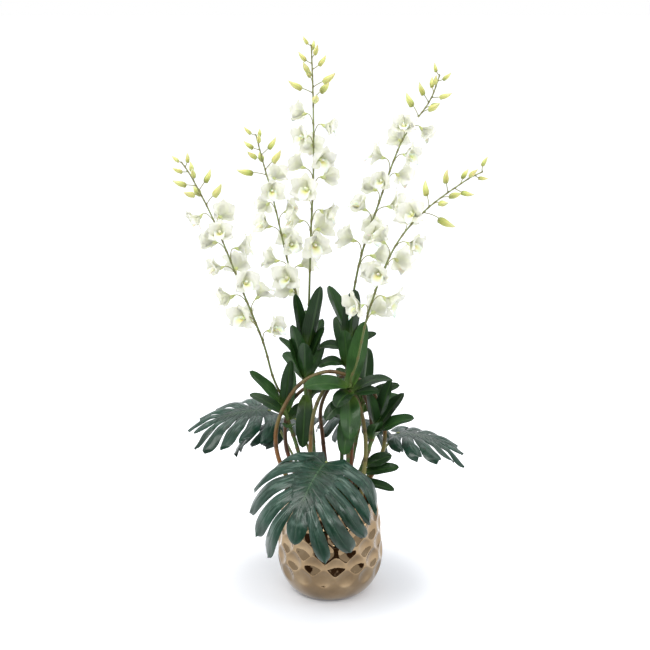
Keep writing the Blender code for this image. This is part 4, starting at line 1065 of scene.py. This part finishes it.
def addBlooms(shape, spray, path):
    # each bloom hangs on a stalk that leaves the stem at its turn; size falls towards the tip
    draws = drawRows(spray["seed"], spray["blooms"], (-14, 14), (-0.30, 0.50), (0.95, 1.05))
    share = np.linspace(0, 1, spray["blooms"])
    fractions = spray["first"] + (spray["last"] - spray["first"]) * share
    place, forward, out = flowerFrames(spray, path, fractions, jitter=draws[:, 0])
    facing = unit(out + forward * draws[:, 1:2])
    size = (1.10 - 0.16 * share) * draws[:, 2]
    knee, base = (place + size[:, None] * bloom["pedicel"] * (away * out + ahead * forward)
                  for away, ahead in (bloom["knee"], bloom["end"]))
    level = unit(np.cross(upward, facing))
    axes = (level, np.cross(facing, level), facing)
    draw = np.random.default_rng(spray["seed"])
    opening = draw.uniform(0.78, 1.08, len(base))
    for form in tepalForms():
        addTepals(shape, base, axes, size, opening, form, draw)
    addBloomStalks(shape, place, knee, base, axes, size)
    addColumns(shape, base, axes, size)
    return fractions


def axisPath(base, axes, size, ahead, rise):
    # points ahead of each bloom's base along its axis, and a rise above it
    up, facing = axes[1:]
    return base[:, None] + size[:, None, None] * (ahead[:, None] * facing[:, None]
                                                  + rise[:, None] * up[:, None])


def addBloomStalks(shape, place, knee, base, axes, size):
    # up along the stem, then hooked over into the chin, whose rings swell and sag towards the lip:
    # the sag in mm is 1.6 e^-((ahead - 1) / 4)^2
    level, facing = axes[0], axes[2]
    chinEnd = base - facing * bloom["chin"] * size[:, None]
    reach = np.linalg.norm(chinEnd - place, axis=-1, keepdims=True)
    stalkPath = hermite(place, (knee - place) * 2.2, chinEnd, facing * reach * 1.1, np.linspace(0, 1, 16))
    ahead = np.array([-0.0035, -0.001, 0.002, 0.006, 0.010, 0.013])
    sag = 0.0016 * np.exp(-((ahead - 0.001) / 0.004) ** 2)
    path = np.concatenate([stalkPath, axisPath(base, axes, size, ahead, -sag)], axis=1)
    radii = np.concatenate([np.full(15, bloom["stalk"]), [0.0015],
                            bloom["chinRadius"] * np.array([0.55, 0.82, 1.0, 1.0, 0.80, 0.35])])
    along = np.concatenate([np.linspace(0, 0.6, 16), np.linspace(0.68, 1.0, 6)])
    shape.add(tubeGrid(path, radii * size[:, None], 10, level[:, None]), 2, along=capped(along))


def addColumns(shape, base, axes, size):
    # a short blunt finger over each lip, with its cap
    ahead = np.linspace(0.004, 0.0175, 9)
    path = axisPath(base, axes, size, ahead, 0.0004 + 0.12 * (ahead - 0.004))
    radii = np.array([0.0016, 0.0018, 0.0019, 0.0020, 0.0021, 0.0023, 0.0024, 0.0020, 0.0010])
    shape.add(tubeGrid(path, radii * size[:, None], 8, axes[0][:, None]), 1, along=0.9, across=0.5)


def addBuds(shape, spray, path):
    # buds on short hooked stalks, smaller and more upright towards the tip
    draws = drawRows(spray["seed"] + 100, spray["buds"], (-0.1, 0.1), (0.93, 1.07))
    start = spray["last"] + bud["start"]
    share = np.linspace(0, 1, spray["buds"])
    fractions = start + (0.995 - start) * share
    place, forward, out = flowerFrames(spray, path, fractions, spray["blooms"])
    facing = unit(out + forward * (0.25 + 0.9 * share + draws[:, 0])[:, None])
    size = ((1.12 - 0.50 * share) * draws[:, 1])[:, None]
    reach = bud["stalk"] * size ** 2
    knee = place + reach * (0.55 * out + 0.45 * forward)
    base = knee + reach * 0.5 * unit(out + facing)
    level = unit(np.cross(forward, facing))
    above = np.cross(facing, level)
    stalkPath = hermite(place, (knee - place) * 1.6, base, facing * reach, np.linspace(0, 1, 12))
    stalkShare = np.linspace(0, 0.55, 12)
    shape.add(tubeGrid(stalkPath, bud["stalkRadius"], 8, level[:, None]), 2, along=capped(stalkShare))
    addBudBodies(shape, base, (level, above, facing), size, spray["seed"] + 7)
    return fractions


def addBudBodies(shape, base, axes, size, seed):
    # blunt foot with a small spur behind, and a drawn-out tip that turns up a little. The radius is
    # sin(pi t^0.7)^0.8 (1 - 0.2 t) + 0.03 of the full one, and full a little past a third of the way
    level, above, facing = axes
    t = np.linspace(0, 1, bud["rings"])
    along = t[None, :, None]
    lengths = bud["length"] * size[:, None]
    bodyPath = (base[:, None] + facing[:, None] * lengths * along
                + above[:, None] * lengths * (0.28 * along ** 2 - 0.16 * along))
    radii = np.sin(math.pi * t ** 0.70).clip(0) ** 0.80 * (1 - 0.20 * t) + 0.03
    grid = tubeGrid(bodyPath, bud["radius"] * size * radii, bud["sides"], level[:, None])
    around = 2 * math.pi * np.arange(bud["sides"]) / bud["sides"]
    spur = np.exp(-((capped(t) - 0.10) / 0.10) ** 2) * np.clip(-np.sin(around), 0, 1) ** 2
    grid = grid - above[:, None, None] * (spur * bud["spur"])[None, ..., None] * size[:, None, None]
    own = np.random.default_rng(seed).uniform(0, 1, (len(base), 1, 1))
    shape.add(grid, 3, along=capped(t), across=around * 0.5, own=own)


def addBracts(shape, spray, path, fractions):
    # a small papery bract under every stalk: it runs up along the stem and curls away from it
    place, forward, out = flowerFrames(spray, path, fractions)
    t = np.linspace(0, 1, bract["rows"])
    size = np.linspace(1.0, 0.55, len(place))[:, None, None]
    centre = place[:, None] + size * (out[:, None] * (0.0012 + 0.0020 * t ** 2)[:, None]
                                      + forward[:, None] * (bract["length"] * t)[:, None])
    along = unit(np.gradient(centre, axis=1))
    level = np.broadcast_to(unit(np.cross(forward, out))[:, None], along.shape)
    face = np.cross(level, along)
    half = size[..., 0] * bract["half"] * np.sin(math.pi * (0.25 + 0.75 * t)).clip(0) ** 0.8 + 0.0001

    def height(across):
        # a shallow trough
        return half[..., None] * 0.8 * across ** 2 - 0.0004

    grid, across = bladeGrid(centre, level, face, half, height, bract["thick"], bract["columns"])
    shape.add(grid, 4, along=0.55, across=0.45)


def makeSpray(name, spray):
    # a stem that thins towards its tip and swells under every flower, with its blooms, buds and bracts
    shape = Gather()
    frames = sprayPath(spray, 60)
    joints = np.concatenate([addBlooms(shape, spray, frames), addBuds(shape, spray, frames)])
    path = smoothRoute(frames, stem["rings"])
    along = np.linspace(0, 1, len(path))
    bare = np.linspace(0.04, spray["first"] - 0.06, 3)
    bumps = jointBumps(along, np.concatenate([bare, joints]), 0.006)
    radii = (stem["foot"] + (stem["tip"] - stem["foot"]) * along) * (0.95 + 0.30 * bumps)
    shape.add(tubeGrid(path, radii, stem["sides"], frontward), 4, along=capped(along), across=capped(bumps))
    addBracts(shape, spray, frames, joints)
    shape.piece(name + "_flowers", name,
                [finishes[key] for key in ("petal", "lip", "chin", "bud", "stem")])


for name, spray in sprays.items():
    makeSpray(name, spray)
    print(name, "made")


# Floor, light and camera

# The picture's side, focal length and point of aim in pixels, and the camera's place in metres
photo = {"side": 650, "focal": 1275.0, "centreX": 330.0, "centreY": 325.5, "distance": 2.3, "height": 1.1574,
         "tilt": 15.2, "sensor": 36.0}
floorForm = {"front": -0.36, "reach": 40.0, "drop": 0.0005, "shadow": (0.14, 0.34),
             "nearGlow": (0.06, 0.065, 0.075), "farGlow": (0.40, 0.40, 0.40)}
studio = {"patchScale": 1.9, "darkFrom": (0.10, -0.98, 0.16), "edge": (0.58, 0.66),
          "dark": (0.10, 0.065, 0.045), "bright": (0.97, 0.98, 1.0), "strength": 0.82}
# Each light's place, the point it faces, its width and height, its power and its colour
lights = {
    "keyLight": ((-1.6, -1.5, 2.6), (0, 0, 0.35), (1.6, 1.6), 42.0, (1.0, 0.985, 0.96)),
    "topLight": ((0.3, 0.6, 3.0), (0, 0, 0.3), (2.2, 1.6), 20.0, (1.0, 1.0, 1.0)),
    "frontLight": ((0.9, -3.4, 2.4), (0, 0, 0.55), (2.4, 1.0), 44.0, (1.0, 1.0, 1.0)),
    "sideLight": ((2.4, -0.6, 1.5), (0, 0, 0.6), (1.2, 1.2), 12.0, (1.0, 1.0, 1.0)),
}


def makeFloor():
    # a plane that glows white further out and takes a soft shadow near the pot. It ends a little in front of
    # the pot, so the glaze mirrors the room there and not the floor
    front, reach = floorForm["front"], floorForm["reach"]
    mesh = bpy.data.meshes.new("floor")
    corners = [(-reach, front, 0), (reach, front, 0), (reach, reach, 0), (-reach, reach, 0)]
    mesh.from_pydata(corners, [], [(0, 1, 2, 3)])
    finish = Finish("floorFinish", Base_Color=(0.93, 0.945, 0.975, 1.0), Roughness=0.6,
                    Specular_IOR_Level=0.2, Emission_Strength=1.0)
    away = finish.add("VectorMath", {"operation": "LENGTH"}, {0: finish.add("TexCoord", out=3)}, out=1)
    far = finish.between(away, *floorForm["shadow"])
    glow = finish.mix(far, floorForm["nearGlow"], floorForm["farGlow"])
    mesh.materials.append(finish.feed(Emission_Color=glow))
    floor = linked("floor", mesh)
    floor.location.z = -floorForm["drop"]


def makeWorld():
    # the camera sees plain white; surfaces see a bright room with brown patches towards the front
    world = bpy.data.worlds.new("studio")
    bpy.context.scene.world = world
    world.use_nodes = True
    room = NodeSet(world.node_tree)
    direction = room.add("TexCoord")
    patches = room.noise(studio["patchScale"], 1.0, direction)
    sockets = {0: direction, 1: studio["darkFrom"]}
    away = room.add("VectorMath", {"operation": "DISTANCE"}, sockets, out=1)
    bright = room.between(patches * 0.9 + away * 0.34, *studio["edge"])
    colour = room.mix(bright, studio["dark"], studio["bright"])
    seen = room.add("Background", None, {"Color": colour, "Strength": studio["strength"]})
    plain = room.add("Background", None, {"Color": (1.0, 1.0, 1.0, 1.0), "Strength": 1.0})
    pick = room.add("MixShader", None, {0: room.add("LightPath"), 1: seen, 2: plain})
    room.tree.links.new(pick.socket, room.tree.nodes["World Output"].inputs["Surface"])


def makeLight(name, place, target, size, watts, colour):
    # a soft rectangle that faces the target
    light = bpy.data.lights.new(name, "AREA")
    light.shape = "RECTANGLE"
    light.size, light.size_y = size
    light.energy = watts
    light.color = colour
    thing = linked(name, light)
    thing.location = place
    away = np.array(target, float) - np.array(place, float)
    tilt = math.acos(-away[2] / np.linalg.norm(away))
    thing.rotation_euler = (tilt, 0.0, math.atan2(away[1], away[0]) - math.pi / 2)


def makeCamera():
    # in front of the pot at the photograph's height, looking down at its tilt
    camera = bpy.data.cameras.new("camera")
    camera.sensor_width = photo["sensor"]
    camera.lens = photo["sensor"] * photo["focal"] / photo["side"]
    camera.shift_x = (photo["side"] / 2 - photo["centreX"]) / photo["side"]
    camera.shift_y = (photo["centreY"] - photo["side"] / 2) / photo["side"]
    thing = linked("camera", camera)
    thing.location = (0.0, -photo["distance"], photo["height"])
    thing.rotation_euler = (math.radians(90 - photo["tilt"]), 0.0, 0.0)
    bpy.context.scene.camera = thing


makeFloor()
makeWorld()
for name, light in lights.items():
    makeLight(name, *light)
makeCamera()
bpy.context.scene.view_settings.view_transform = "Standard"
print("floor, light and camera set")
